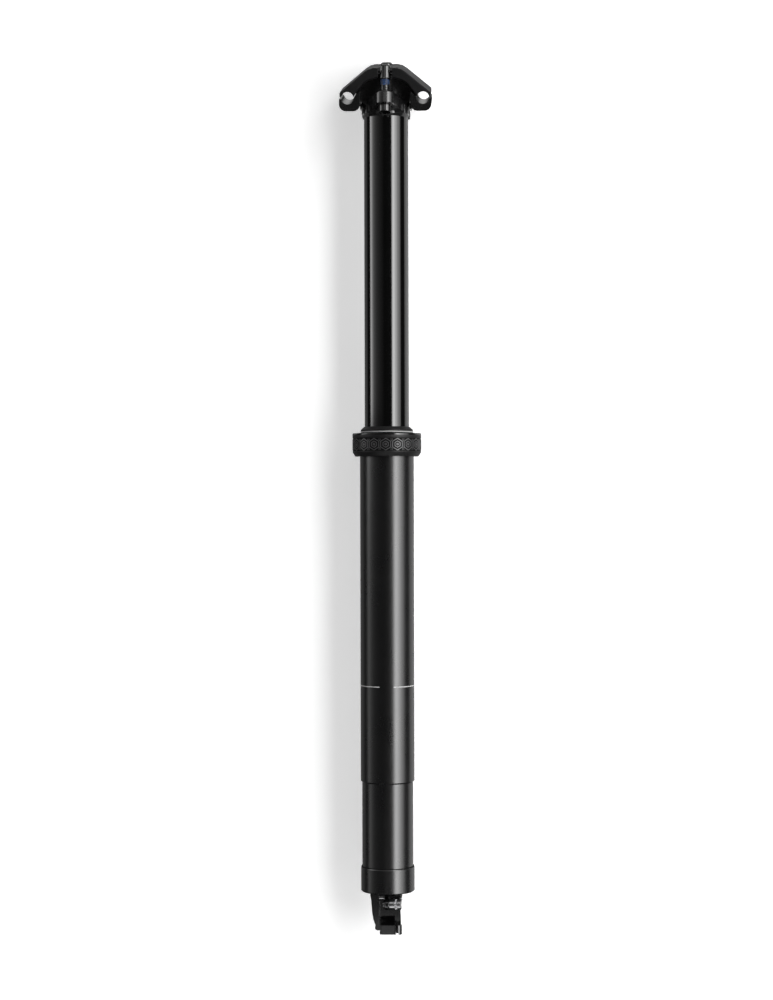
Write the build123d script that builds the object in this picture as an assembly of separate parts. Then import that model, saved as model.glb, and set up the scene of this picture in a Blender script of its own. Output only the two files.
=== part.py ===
"""A dropper seatpost: a telescopic bicycle seatpost with a gas cartridge and a two-bolt saddle clamp.

Millimetres. The origin is on the post's axis at the underside of the collar, where the frame's seat
tube ends. +Z runs up the post, -Y towards the front of the bicycle and +X to the rider's left.
The post is drawn at full height, with the saddle clamp at its usual nose-down angle.
"""
from build123d import *
import math
import os

# Driving sizes of the tubes
TUBE_OD = 31.6
TUBE_WALL = 2.3
STANCHION_WALL = 2.5
TRAVEL = 170.0
INSERT_LENGTH = 75.0
FLOOR_ROOM = 4.2
HEAD_ROOM = 11.2
LOWER_LENGTH = 49.3
LOWER_STEP = 0.8
CAP_PROUD = 0.75
CAP_HEIGHT = 14.7
CAP_FLOOR = 6.0
CAP_BEVEL = 0.55

# Driving sizes of the collar and the seals in it
COLLAR_HEIGHT = 13.6
COLLAR_WALL = 2.15
COLLAR_LIP = 1.5
COLLAR_BAND = 7.6
COLLAR_BAND_DEPTH = 0.35
COLLAR_BEVEL = 1.6
COLLAR_TOP_BEVEL = 0.4
FLARE_PROUD = 2.2
FLARE_HEIGHT = 10.2
FLARE_BEVEL = 0.8
THREAD_GAP = 0.1
RING_HEIGHT = 1.3
RING_DROP = 0.5
WIPER_HEIGHT = 3.8
WIPER_PROUD = 2.35
WIPER_EDGE = 0.7

# Driving sizes of the guides
BORE_GAP = 0.5
BUSHING_LENGTH = 18.0
BUSHING_WALL = 1.45
BUSHING_SLIT = 1.2
CLIP_THICKNESS = 1.1
CLIP_DEPTH = 0.9
FOAM_HEIGHT = 2.8
KEY_WIDTH = 2.9
KEY_LENGTH = 10.0
KEY_SEAT = 1.0
KEY_COUNT = 3
KEY_HEIGHT = 17.0
GROOVE_DEPTH = 0.5
SHOE_LENGTH = 9.0
SHOE_SEAT = 0.35
RUN_GAP = 0.05
SEAT_GAP = 0.03

# Driving sizes of the gas cartridge
CARTRIDGE_GAP = 0.3
CARTRIDGE_WALL = 1.0
ROD_SHARE = 0.4348
ROD_BORE_SHARE = 0.5
PIN_SHARE = 0.375
GLAND_LENGTH = 13.0
GLAND_SET = 2.0
SEAL_WIDTH = 2.8
SEAL_DEPTH = 1.7
BUMPER_LENGTH = 5.0
PISTON_LENGTH = 8.0
PISTON_NUT_LENGTH = 12.0
PORT_OD = 2.0
PORT_COUNT = 4
FLOAT_LENGTH = 10.0
FLOAT_ROOM = 2.0
PLUG_LENGTH = 14.0
NUT_PLATE = 5.0
SPIGOT_LENGTH = 10.5
SPRING_WIRE = 0.6
SPRING_COILS = 4
POPPET_SHARE = 0.575
POPPET_HEIGHT = 2.0
FOOT_FLANGE = 2.0
FOOT_NUT_LENGTH = 3.4
FOOT_NUT_OD = 14.4

# Driving sizes of the saddle clamp
RAIL_SPACING = 44.0
RAIL_SEAT_OD = 7.2
PIVOT_RISE = 13.7
CLAMP_ANGLE = 15.0
SADDLE_RADIUS = 9.0
CRADLE_LENGTH = 32.0
UPPER_LENGTH = 34.0
CUP_WALL = 1.3
CUP_INSIDE = 7.3
CUP_DROP = 7.6
LIP_GAP = 0.6
FLANK_RISE = 3.8
RIB_RISE = 0.8
RIB_GAP = 0.5
SIDE_GAP = 0.65
BRIDGE_LENGTH = 16.0
CLAMP_RISE = 17.1
ARCH_RISE = 11.4
UNDER_BEVEL = 1.5
SLOT_WIDTH = 8.6
NUT_INSET = 4.0
NUT_RISE = 14.9
NUT_BODY_OD = 7.0
NUT_ABOVE = 3.4
NUT_BELOW = 5.2
NUT_CROSS_OD = 4.8
NUT_CROSS_LENGTH = 14.4
NUT_DOME = 1.2
BOLT_OD = 5.0
BOLT_HEAD_OD = 7.4
BOLT_HEAD_HEIGHT = 4.4
BOLT_KEY = 4.0
NUT_BORE_GAP = 0.3
FRONT_LUG_OFFSET = 7.0
FRONT_LUG_DROP = 10.8
REAR_LUG_OFFSET = 3.6
REAR_LUG_DROP = 5.8
BOSS_OD = 12.2
BOSS_HEIGHT = 7.3
BOSS_EDGE = 1.3
WASHER_SPHERE = 5.0
WASHER_OD = 8.6
WASHER_BASE = 1.7
NECK_BEVEL = 1.2
SADDLE_LIP = 2.6

# Driving sizes of the remote lever's mechanism under the cap
FLANGE_THICKNESS = 2.0
FLANGE_RADIUS = 12.6
BRACKET_LEFT = 10.1
BRACKET_RIGHT = 7.6
BRACKET_BACK = 5.6
CHEEK_DROP = 18.4
CHEEK_GAP_LEFT = 4.9
CHEEK_GAP_RIGHT = 4.1
CHEEK_FRONT = 7.6
BACK_WALL = 2.6
FOOT_HEIGHT = 5.4
PIVOT_FORWARD = 4.2
PIVOT_DROP = 3.4
PIVOT_OD = 2.6
HUB_OD = 5.2
HUB_RIGHT = 3.7
NOSE_RADIUS = 1.4
NOSE_DROP = 0.5
ANCHOR_FORWARD = 5.8
ANCHOR_DROP = 3.05
ANCHOR_OD = 6.1
ANCHOR_LENGTH = 7.4
ANCHOR_LEFT = 0.9
ANCHOR_STUB_OD = 3.5
ARM_THICKNESS = 1.9
ARM_EYE_OD = 6.2
CABLE_OD = 1.6
CABLE_SLOT = 1.3
CABLE_X = 5.1
CABLE_Y = 9.4
STOP_X = 5.7
FOOT_BEVEL = 1.2
STOP_OD = 5.6
STOP_BORE = 4.2
STOP_DEPTH = 3.6
STOP_SLOT = 1.5
SCREW_OD = 2.5
SCREW_LENGTH = 4.6
SCREW_HEAD_OD = 4.4
SCREW_HEAD_HEIGHT = 1.6
SCREW_RADIUS = 10.4
SCREW_ANGLE = 60.0
LEVER_GAP = 0.25

# Cuts run past the faces they open by this much
OVERRUN = 1.0
EDGE = 0.4

# Radii and heights that follow from the driving sizes
tube_r = TUBE_OD / 2
tube_bore_r = tube_r - TUBE_WALL
post_r = tube_bore_r - BORE_GAP
post_bore_r = post_r - STANCHION_WALL
lower_r = tube_r - LOWER_STEP
cap_r = lower_r + CAP_PROUD
groove_r = tube_bore_r + GROOVE_DEPTH
flare_r = tube_r + FLARE_PROUD
collar_bore_r = flare_r + THREAD_GAP
collar_r = collar_bore_r + COLLAR_WALL
wiper_r = post_r + WIPER_PROUD
bushing_r = post_r + BUSHING_WALL

post_foot = -INSERT_LENGTH
tube_floor = post_foot - TRAVEL - FLOOR_ROOM
cap_bottom = tube_floor - CAP_FLOOR
cap_top = cap_bottom + CAP_HEIGHT
tube_step = cap_top + LOWER_LENGTH
flare_bottom = THREAD_GAP
flare_top = flare_bottom + FLARE_HEIGHT
lip_bottom = COLLAR_HEIGHT - COLLAR_LIP
ring_top = COLLAR_HEIGHT + RING_HEIGHT
wiper_top = COLLAR_HEIGHT + WIPER_HEIGHT
seam = wiper_top + TRAVEL + HEAD_ROOM
clip_seat = flare_top - CLIP_THICKNESS - FOAM_HEIGHT

cylinder_r = post_bore_r - CARTRIDGE_GAP
cylinder_bore_r = cylinder_r - CARTRIDGE_WALL
piston_r = cylinder_bore_r - RUN_GAP
rod_r = cylinder_bore_r * ROD_SHARE
rod_bore_r = rod_r * ROD_BORE_SHARE
pin_r = rod_r * PIN_SHARE
poppet_r = rod_r * POPPET_SHARE
gland_bottom = post_foot + GLAND_SET
gland_top = gland_bottom + GLAND_LENGTH
bumper_top = gland_top + RUN_GAP + BUMPER_LENGTH
piston_top = bumper_top + RUN_GAP + PISTON_LENGTH
nut_top = piston_top + PISTON_NUT_LENGTH
float_share = ROD_SHARE ** 2
float_bottom = nut_top + TRAVEL * (1 - float_share) + FLOAT_ROOM
float_top = float_bottom + FLOAT_LENGTH
plug_top = seam - SPIGOT_LENGTH - NUT_PLATE - 3 * SEAT_GAP
plug_bottom = plug_top - PLUG_LENGTH
cylinder_top = plug_top + SEAT_GAP
poppet_seat = piston_top - POPPET_HEIGHT
pin_bottom = cap_bottom - PIVOT_DROP - NOSE_DROP + NOSE_RADIUS + RUN_GAP

rail_x = RAIL_SPACING / 2
rail_r = RAIL_SEAT_OD / 2
clamp_z = seam + PIVOT_RISE
cup_inner_x = rail_x - CUP_INSIDE
cup_outer_x = rail_x + rail_r + CUP_WALL
head_half = cup_inner_x - SIDE_GAP
neck_r = head_half
nut_reach = UPPER_LENGTH / 2 - NUT_INSET
front_lug_reach = nut_reach + FRONT_LUG_OFFSET
rear_lug_reach = nut_reach + REAR_LUG_OFFSET
pivot_y = -PIVOT_FORWARD
pivot_z = cap_bottom - PIVOT_DROP
anchor_y = pivot_y - ANCHOR_FORWARD
anchor_z = pivot_z - ANCHOR_DROP
cheek_bottom = cap_bottom - CHEEK_DROP
bracket_bottom = cheek_bottom - FOOT_HEIGHT
flange_bottom = cap_bottom - FLANGE_THICKNESS

BASE = (Align.CENTER, Align.CENTER, Align.MIN)
CORNER = (Align.MIN, Align.MIN, Align.MIN)
clamp_frame = Pos(0, 0, clamp_z) * Rot(CLAMP_ANGLE, 0, 0)


def disc(r, bottom, top):
    """A round bar on the post's axis."""
    return Pos(0, 0, bottom) * Cylinder(r, top - bottom, align=BASE)


def ring(r, bore_r, bottom, top):
    """A tube on the post's axis."""
    return disc(r, bottom, top) - disc(bore_r, bottom - OVERRUN, top + OVERRUN)


def cross_bar(r, left, right, y, z):
    """A round bar that lies across the post, along X."""
    return Pos(left, y, z) * Rot(0, 90, 0) * Cylinder(r, right - left, align=BASE)


def block(x0, x1, y0, y1, z0, z1):
    """A square block between two corners."""
    return Pos(x0, y0, z0) * Box(x1 - x0, y1 - y0, z1 - z0, align=CORNER)


def turned(*points):
    """A turned piece from its half outline, given as radius and height."""
    return revolve(make_face(Polyline(*[(r, 0, z) for r, z in points], close=True)), Axis.Z)


def front_cut(points, y0, y1):
    """A bar along Y from its outline in X and Z."""
    face = make_face(Polyline(*[(x, y0, z) for x, z in points], close=True))
    return extrude(face, amount=y1 - y0, dir=(0, 1, 0))


def side_cut(points, x0, x1):
    """A bar along X from its outline in Y and Z."""
    face = make_face(Polyline(*[(x0, y, z) for y, z in points], close=True))
    return extrude(face, amount=x1 - x0, dir=(1, 0, 0))


def mirrored(points):
    """The right half of an outline, from the middle outwards, and its mirror image on the left."""
    return list(points) + [(-x, z) for x, z in reversed(points)]


def in_clamp(y, z):
    """A point of the clamp's own frame, in the post's frame."""
    a = math.radians(CLAMP_ANGLE)
    return y * math.cos(a) - z * math.sin(a), clamp_z + y * math.sin(a) + z * math.cos(a)


def bolt_geometry(reach, drop, nut_y):
    """One clamp bolt: the frame at its swivel washer, the frame at its nut, and their distance."""
    washer_y = reach
    washer_z = clamp_z - drop
    cross_y, cross_z = in_clamp(nut_y, NUT_RISE)
    rise = math.hypot(cross_y - washer_y, cross_z - washer_z)
    lean = math.degrees(math.atan2(washer_y - cross_y, cross_z - washer_z))
    low = Pos(0, washer_y, washer_z) * Rot(lean, 0, 0)
    high = Pos(0, cross_y, cross_z) * Rot(lean, 0, 0)
    return low, high, rise


front_low, front_high, front_rise = bolt_geometry(-front_lug_reach, FRONT_LUG_DROP, -nut_reach)
rear_low, rear_high, rear_rise = bolt_geometry(rear_lug_reach, REAR_LUG_DROP, nut_reach)


# The fixed tube, its cap and its guides

def make_outer_tube():
    """The tube that the frame holds: threaded flare at the top, key grooves inside, stepped foot."""
    socket_r = lower_r - EDGE
    body = turned(
        (tube_bore_r, tube_floor + SEAT_GAP), (socket_r, tube_floor + SEAT_GAP), (socket_r, cap_top),
        (lower_r, cap_top), (lower_r, tube_step), (tube_r, tube_step + LOWER_STEP),
        (tube_r, flare_bottom), (flare_r - FLARE_BEVEL, flare_bottom),
        (flare_r, flare_bottom + FLARE_BEVEL), (flare_r, flare_top - FLARE_BEVEL),
        (flare_r - FLARE_BEVEL, flare_top), (tube_bore_r, flare_top),
    )
    seat_r = bushing_r + SEAT_GAP
    body -= disc(seat_r, clip_seat - BUSHING_LENGTH, flare_top + OVERRUN)
    body -= disc(seat_r + CLIP_DEPTH, clip_seat, clip_seat + CLIP_THICKNESS)
    groove_bottom = post_foot - TRAVEL + KEY_HEIGHT - KEY_LENGTH
    groove_top = clip_seat - BUSHING_LENGTH
    half = KEY_WIDTH / 2 + RUN_GAP
    groove = block(0, groove_r, -half, half, groove_bottom, groove_top)
    for turn in range(KEY_COUNT):
        body -= Rot(0, 0, turn * 360 / KEY_COUNT) * groove
    return body


def make_bottom_cap():
    """The cap screwed over the tube's foot, with a recess for the nut and two screw holes."""
    edge = CAP_PROUD
    wall_r = lower_r - EDGE + SEAT_GAP
    body = turned(
        (0, cap_bottom), (cap_r - CAP_BEVEL, cap_bottom), (cap_r, cap_bottom + CAP_BEVEL),
        (cap_r, cap_top - edge), (cap_r - edge / 2, cap_top),
        (wall_r, cap_top), (wall_r, tube_floor), (0, tube_floor),
    )
    stub_r = rod_r + SEAT_GAP
    body -= disc(stub_r, cap_bottom - OVERRUN, tube_floor + OVERRUN)
    body -= disc(FOOT_NUT_OD / 2 + EDGE, cap_bottom - OVERRUN, cap_bottom + FOOT_NUT_LENGTH)
    for x, y in screw_places():
        body -= Pos(x, y, cap_bottom) * Cylinder(SCREW_OD / 2 + SEAT_GAP, SCREW_LENGTH, align=BASE)
    return body


def make_upper_bushing():
    """The split bushing that guides the stanchion in the top of the tube."""
    body = ring(bushing_r, post_r + RUN_GAP, clip_seat - BUSHING_LENGTH, clip_seat)
    half = BUSHING_SLIT / 2
    return body - block(0, bushing_r + OVERRUN, -half, half, tube_step, flare_top)


def make_bushing_clip():
    """The open spring clip that holds the bushing down."""
    top = clip_seat + CLIP_THICKNESS
    body = ring(bushing_r + CLIP_DEPTH, post_r + BORE_GAP, clip_seat, top)
    return body - block(0, flare_r, -post_r / 2, post_r / 2, clip_seat - OVERRUN, top + OVERRUN)


def make_foam_ring():
    """The oiled foam ring under the wiper."""
    bottom = clip_seat + CLIP_THICKNESS
    return ring(bushing_r, post_r + RUN_GAP, bottom + SEAT_GAP, bottom + FOAM_HEIGHT - SEAT_GAP)


# The collar and the seals that lift with it

def make_collar():
    """The hand-turned collar: grip band recessed between two rims, and a lip over the seal."""
    band_bottom = (COLLAR_HEIGHT - COLLAR_BAND) / 2
    band_top = band_bottom + COLLAR_BAND
    band_r = collar_r - COLLAR_BAND_DEPTH
    lip_r = wiper_r + THREAD_GAP
    return turned(
        (collar_bore_r, 0), (collar_r - COLLAR_BEVEL, 0), (collar_r, band_bottom - COLLAR_BAND_DEPTH),
        (band_r, band_bottom), (band_r, band_top), (collar_r, band_top + COLLAR_BAND_DEPTH),
        (collar_r, COLLAR_HEIGHT - COLLAR_TOP_BEVEL), (collar_r - COLLAR_TOP_BEVEL, COLLAR_HEIGHT),
        (lip_r, COLLAR_HEIGHT), (lip_r, lip_bottom), (collar_bore_r, lip_bottom),
    )


def make_wiper_seal():
    """The rubber wiper: a flange under the collar's lip, a neck through it and a lip on the post."""
    flange_r = collar_bore_r - RUN_GAP
    flange_top = lip_bottom - RUN_GAP
    return turned(
        (post_r + RUN_GAP, flare_top + SEAT_GAP), (flange_r, flare_top + SEAT_GAP),
        (flange_r, flange_top), (wiper_r - EDGE, flange_top), (wiper_r - EDGE, ring_top),
        (wiper_r, ring_top + SEAT_GAP), (wiper_r, ring_top + WIPER_EDGE), (post_r + EDGE, wiper_top),
        (post_r + RUN_GAP, wiper_top),
    )


def make_wiper_ring():
    """The thin metal ring around the wiper, on top of the collar."""
    return ring(wiper_r + RUN_GAP, wiper_r - EDGE + SEAT_GAP, COLLAR_HEIGHT + RING_DROP, ring_top)


# The sliding post

def make_stanchion():
    """The polished tube that slides, with its key pockets, guide shoe seat and clip groove."""
    body = ring(post_r, post_bore_r, post_foot, seam - SEAT_GAP)
    shoe_r = post_r - SHOE_SEAT
    body -= ring(post_r + OVERRUN, shoe_r, post_foot - OVERRUN, post_foot + SHOE_LENGTH)
    seat = KEY_LENGTH / 2 + SEAT_GAP
    half = KEY_WIDTH / 2 + SEAT_GAP
    middle = post_foot + KEY_HEIGHT
    pocket = block(post_r - KEY_SEAT, post_r + OVERRUN, -half, half, middle - seat, middle + seat)
    for turn in range(KEY_COUNT):
        body -= Rot(0, 0, turn * 360 / KEY_COUNT) * pocket
    clip_bottom = post_foot + EDGE
    return body - disc(post_bore_r + CLIP_DEPTH / 2, clip_bottom, clip_bottom + CLIP_THICKNESS)


def make_guide_keys():
    """The brass keys that stop the post turning."""
    half = KEY_WIDTH / 2
    middle = post_foot + KEY_HEIGHT
    bar = block(
        post_r - KEY_SEAT + SEAT_GAP, tube_bore_r + GROOVE_DEPTH - RUN_GAP, -half, half,
        middle - KEY_LENGTH / 2, middle + KEY_LENGTH / 2,
    )
    bar = bar & ring(groove_r - RUN_GAP, post_bore_r, post_foot, seam)
    return Compound(children=[Rot(0, 0, turn * 360 / KEY_COUNT) * bar for turn in range(KEY_COUNT)])


def make_guide_shoe():
    """The split plastic shoe at the foot of the stanchion."""
    body = ring(
        tube_bore_r - RUN_GAP, post_r - SHOE_SEAT + SEAT_GAP,
        post_foot, post_foot + SHOE_LENGTH - SEAT_GAP,
    )
    half = BUSHING_SLIT / 2
    return body - block(0, tube_r, -half, half, post_foot - OVERRUN, post_foot + SHOE_LENGTH)


def make_cartridge_cylinder():
    """The gas cartridge's cylinder."""
    clip_top = post_foot + EDGE + CLIP_THICKNESS
    return ring(cylinder_r, cylinder_bore_r, clip_top + SEAT_GAP, cylinder_top)


def make_cartridge_gland():
    """The plug in the cylinder's foot that the rod runs through."""
    body = ring(cylinder_bore_r - SEAT_GAP, rod_r + RUN_GAP, gland_bottom, gland_top)
    seal_bottom = gland_bottom + GLAND_LENGTH / 2
    return body - disc(rod_r + SEAL_DEPTH, seal_bottom, seal_bottom + SEAL_WIDTH)


def make_rod_seal():
    """The seal in the gland, on the rod."""
    seal_bottom = gland_bottom + GLAND_LENGTH / 2
    return ring(
        rod_r + SEAL_DEPTH - SEAT_GAP, rod_r + SEAT_GAP,
        seal_bottom + SEAT_GAP, seal_bottom + SEAL_WIDTH - SEAT_GAP,
    )


def make_gland_clip():
    """The open clip in the stanchion's foot that carries the cartridge."""
    bottom = post_foot + EDGE + SEAT_GAP
    top = post_foot + EDGE + CLIP_THICKNESS - SEAT_GAP
    inner_r = cylinder_bore_r - 2 * CARTRIDGE_WALL
    body = ring(post_bore_r + CLIP_DEPTH / 2 - SEAT_GAP, inner_r, bottom, top)
    return body - block(0, post_r, -inner_r / 3, inner_r / 3, bottom - OVERRUN, top + OVERRUN)


def make_top_plug():
    """The plug in the cylinder's head, with a ring groove and a fill hole."""
    body = disc(cylinder_bore_r - SEAT_GAP, plug_bottom, plug_top)
    groove_bottom = plug_bottom + SEAL_WIDTH
    body -= ring(
        cylinder_r, cylinder_bore_r - SEAL_DEPTH, groove_bottom, groove_bottom + SEAL_WIDTH
    )
    body -= disc(PORT_OD / 2, plug_bottom - OVERRUN, plug_top)
    return body - disc(rod_bore_r + SEAT_GAP, plug_top - PLUG_LENGTH / 2, plug_top + OVERRUN)


def make_plug_ring():
    """The seal around the top plug."""
    bottom = plug_bottom + SEAL_WIDTH
    return ring(
        cylinder_bore_r - SEAT_GAP, cylinder_bore_r - SEAL_DEPTH + SEAT_GAP,
        bottom + SEAT_GAP, bottom + SEAL_WIDTH - SEAT_GAP,
    )


def make_fill_screw():
    """The grub screw that closes the fill hole."""
    body = disc(rod_bore_r, plug_top - PLUG_LENGTH / 2 + SEAT_GAP, plug_top - EDGE)
    key = Pos(0, 0, plug_top - PLUG_LENGTH / 4) * extrude(
        RegularPolygon(pin_r, 6), amount=PLUG_LENGTH / 2
    )
    return body - key


def make_cartridge_nut():
    """The slotted nut between the cartridge and the head's spigot."""
    bottom = cylinder_top + SEAT_GAP
    body = ring(post_bore_r - SEAT_GAP, rod_r, bottom, bottom + NUT_PLATE)
    half = BUSHING_SLIT
    slot = block(-post_r, post_r, -half, half, bottom + NUT_PLATE / 2, bottom + NUT_PLATE + OVERRUN)
    return body - slot


def make_floating_piston():
    """The piston that parts the gas from the oil."""
    body = disc(piston_r, float_bottom, float_top)
    middle = float_bottom + FLOAT_LENGTH / 2
    body -= ring(
        cylinder_r, cylinder_bore_r - SEAL_DEPTH, middle - SEAL_WIDTH / 2, middle + SEAL_WIDTH / 2
    )
    dish_r = piston_r - 2 * SEAL_DEPTH
    return body - disc(dish_r, middle + SEAL_WIDTH / 2, float_top + OVERRUN)


def make_floating_ring():
    """The seal around the floating piston."""
    middle = float_bottom + FLOAT_LENGTH / 2
    half = SEAL_WIDTH / 2 - SEAT_GAP
    return ring(
        cylinder_bore_r - SEAT_GAP, cylinder_bore_r - SEAL_DEPTH + SEAT_GAP,
        middle - half, middle + half,
    )


# The rod and main piston, fixed to the cap

def make_piston_rod():
    """The hollow rod from the bottom cap up to the main piston."""
    top = piston_top + SEAL_WIDTH
    flange_seat = tube_floor + CLIP_THICKNESS
    body = disc(rod_r, cap_bottom + EDGE, top)
    body += disc(FOOT_NUT_OD / 2 - EDGE, flange_seat, flange_seat + FOOT_FLANGE)
    body -= disc(rod_bore_r, cap_bottom - OVERRUN, top + OVERRUN)
    return body - disc(poppet_r + RUN_GAP, poppet_seat, top + OVERRUN)


def make_main_piston():
    """The ported piston on the rod."""
    body = ring(piston_r, rod_r + SEAT_GAP, bumper_top + RUN_GAP, piston_top)
    middle = piston_top - PISTON_LENGTH / 2
    body -= ring(
        cylinder_r, cylinder_bore_r - SEAL_DEPTH, middle - SEAL_WIDTH / 2, middle + SEAL_WIDTH / 2
    )
    port_radius = (rod_r + cylinder_bore_r - SEAL_DEPTH) / 2
    for turn in range(PORT_COUNT):
        port = Pos(port_radius, 0, bumper_top) * Cylinder(PORT_OD / 2, 2 * PISTON_LENGTH, align=BASE)
        body -= Rot(0, 0, turn * 360 / PORT_COUNT) * port
    return body


def make_piston_seal():
    """The seal around the main piston."""
    middle = piston_top - PISTON_LENGTH / 2
    half = SEAL_WIDTH / 2 - SEAT_GAP
    return ring(
        cylinder_bore_r - SEAT_GAP, cylinder_bore_r - SEAL_DEPTH + SEAT_GAP,
        middle - half, middle + half,
    )


def make_piston_nut():
    """The capped nut over the rod's head, hollow for the valve spring."""
    bottom = piston_top + SEAT_GAP
    spring_top = nut_top - SEAL_DEPTH
    hexagon = RegularPolygon(rod_r + 2 * SEAL_DEPTH, 6)
    body = Pos(0, 0, bottom) * extrude(hexagon, amount=nut_top - bottom)
    body = body & turned(
        (0, bottom), (piston_r, bottom), (piston_r, spring_top), (rod_r, nut_top), (0, nut_top)
    )
    body -= disc(rod_r + SEAT_GAP, bottom - OVERRUN, piston_top + SEAL_WIDTH + SEAT_GAP)
    body -= disc(poppet_r + RUN_GAP, bottom, spring_top)
    for turn in range(PORT_COUNT // 2):
        port = cross_bar(pin_r / 2, -piston_r, piston_r, 0, spring_top - 2 * pin_r)
        body -= Rot(0, 0, turn * 360 / PORT_COUNT) * port
    return body


def make_topout_bumper():
    """The rubber ring that softens the end of the stroke."""
    bottom = gland_top + RUN_GAP
    middle = bottom + BUMPER_LENGTH / 2
    outer_r = cylinder_bore_r - SEAL_DEPTH / 2
    return turned(
        (rod_r + SEAT_GAP, bottom), (outer_r - EDGE, bottom), (outer_r, middle),
        (outer_r - EDGE, bumper_top), (rod_r + SEAT_GAP, bumper_top),
    )


def make_foot_washer():
    """The washer between the rod's flange and the cap's floor."""
    return ring(FOOT_NUT_OD / 2, rod_r + SEAT_GAP, tube_floor, tube_floor + CLIP_THICKNESS)


def make_foot_nut():
    """The nut in the cap's recess that holds the rod."""
    height = FOOT_NUT_LENGTH - EDGE
    body = Pos(0, 0, cap_bottom + EDGE) * extrude(RegularPolygon(FOOT_NUT_OD / 2, 6), amount=height)
    return body - disc(rod_r + SEAT_GAP, cap_bottom, tube_floor)


def make_release_pin():
    """The long pin through the rod, with the valve's poppet at its head."""
    body = disc(pin_r, pin_bottom, poppet_seat + POPPET_HEIGHT)
    body += turned(
        (0, poppet_seat + RUN_GAP), (poppet_r, poppet_seat + RUN_GAP),
        (poppet_r, piston_top - EDGE), (pin_r, piston_top), (0, piston_top),
    )
    return chamfer(body.edges().sort_by(Axis.Z)[0], EDGE)


def make_valve_spring():
    """The coil spring that shuts the valve."""
    wire_r = SPRING_WIRE / 2
    coil_r = poppet_r - SPRING_WIRE
    bottom = piston_top + wire_r + SEAT_GAP
    height = nut_top - SEAL_DEPTH - wire_r - SEAT_GAP - bottom
    path = Pos(0, 0, bottom) * Helix(height / SPRING_COILS, height, coil_r)
    start = Plane(path @ 0, z_dir=path % 0)
    return sweep(start * Circle(wire_r), path=path, is_frenet=True)


# The head and the saddle clamp

def boss_tools(low):
    """What one lug takes away around its bolt: washer seat, bolt slot and room for the bolt head."""
    seat_r = WASHER_SPHERE + RUN_GAP
    washer_r = WASHER_OD / 2 + EDGE
    top = WASHER_BASE + BOSS_HEIGHT
    seat = Sphere(seat_r) & Cylinder(washer_r, 2 * seat_r, align=BASE)
    slot_r = BOLT_OD / 2 + 2 * EDGE
    room = Pos(0, 0, -2 * BOSS_HEIGHT) * Cylinder(
        BOLT_HEAD_OD / 2 + 2 * EDGE, 2 * BOSS_HEIGHT + WASHER_BASE, align=BASE
    )
    return low * (seat + Cylinder(slot_r, top + OVERRUN, align=BASE) + room)


def make_boss(low):
    """One lug's round boss, rounded at its top edge."""
    boss = Pos(0, 0, WASHER_BASE) * Cylinder(BOSS_OD / 2, BOSS_HEIGHT, align=BASE)
    top = boss.edges().filter_by(GeomType.CIRCLE).sort_by(Axis.Z)[-1]
    boss = fillet(top, BOSS_EDGE)
    return low * boss


def make_web(wall_y, wall_low, wall_high, boss_y, boss_low, boss_high):
    """The tapered web that joins the head's body to one boss."""
    half_share = 0.88
    wide = half_share * head_half
    narrow = BOSS_OD / 2 - EDGE
    near = Polyline(
        (-wide, wall_y, wall_low), (wide, wall_y, wall_low),
        (wide, wall_y, wall_high), (-wide, wall_y, wall_high), close=True,
    )
    far = Polyline(
        (-narrow, boss_y, boss_low), (narrow, boss_y, boss_low),
        (narrow, boss_y, boss_high), (-narrow, boss_y, boss_high), close=True,
    )
    return loft([make_face(near), make_face(far)], ruled=True)


def make_head():
    """The forged head: neck, concave saddle, two lugs on tapered webs and a spigot in the post."""
    body = turned(
        (0, seam), (post_r, seam), (neck_r, seam + NECK_BEVEL), (neck_r, seam + PIVOT_RISE / 2),
        (0, seam + PIVOT_RISE / 2),
    )
    wall = SADDLE_RADIUS + SADDLE_LIP
    lip_drop = SADDLE_RADIUS / 3
    front_lip = in_clamp(-wall, -lip_drop)
    rear_lip = in_clamp(wall, -lip_drop)
    base = seam + NECK_BEVEL
    saddle = side_cut(
        ((-post_r, base), (-post_r, base + 4 * NECK_BEVEL), front_lip, rear_lip,
         (post_r, base + 5 * NECK_BEVEL), (post_r, base)),
        -head_half, head_half,
    )
    corner_r = PIVOT_RISE / 2
    footprint = RectangleRounded(2 * head_half, 2 * wall + 2 * SADDLE_LIP, corner_r)
    saddle = saddle & (Pos(0, 0, base) * extrude(footprint, amount=2 * PIVOT_RISE))
    body += saddle
    wall_y = wall - SADDLE_LIP
    front_z = clamp_z - FRONT_LUG_DROP
    body += make_web(
        -wall_y, base, front_lip[1], -front_lug_reach, front_z + WASHER_BASE, front_z + BOSS_HEIGHT
    )
    rear_z = clamp_z - REAR_LUG_DROP
    body += make_web(
        wall_y, base, rear_lip[1], rear_lug_reach, rear_z + WASHER_BASE, rear_z + BOSS_HEIGHT
    )
    body += make_boss(front_low) + make_boss(rear_low)
    body -= clamp_frame * cross_bar(SADDLE_RADIUS + RUN_GAP, -rail_x, rail_x, 0, 0)
    body -= boss_tools(front_low)
    body -= boss_tools(rear_low)
    body += disc(post_bore_r - SEAT_GAP, seam - SPIGOT_LENGTH, seam + SEAT_GAP)
    hollow_r = post_bore_r - STANCHION_WALL
    return body - disc(hollow_r, seam - SPIGOT_LENGTH - OVERRUN, seam)


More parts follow.
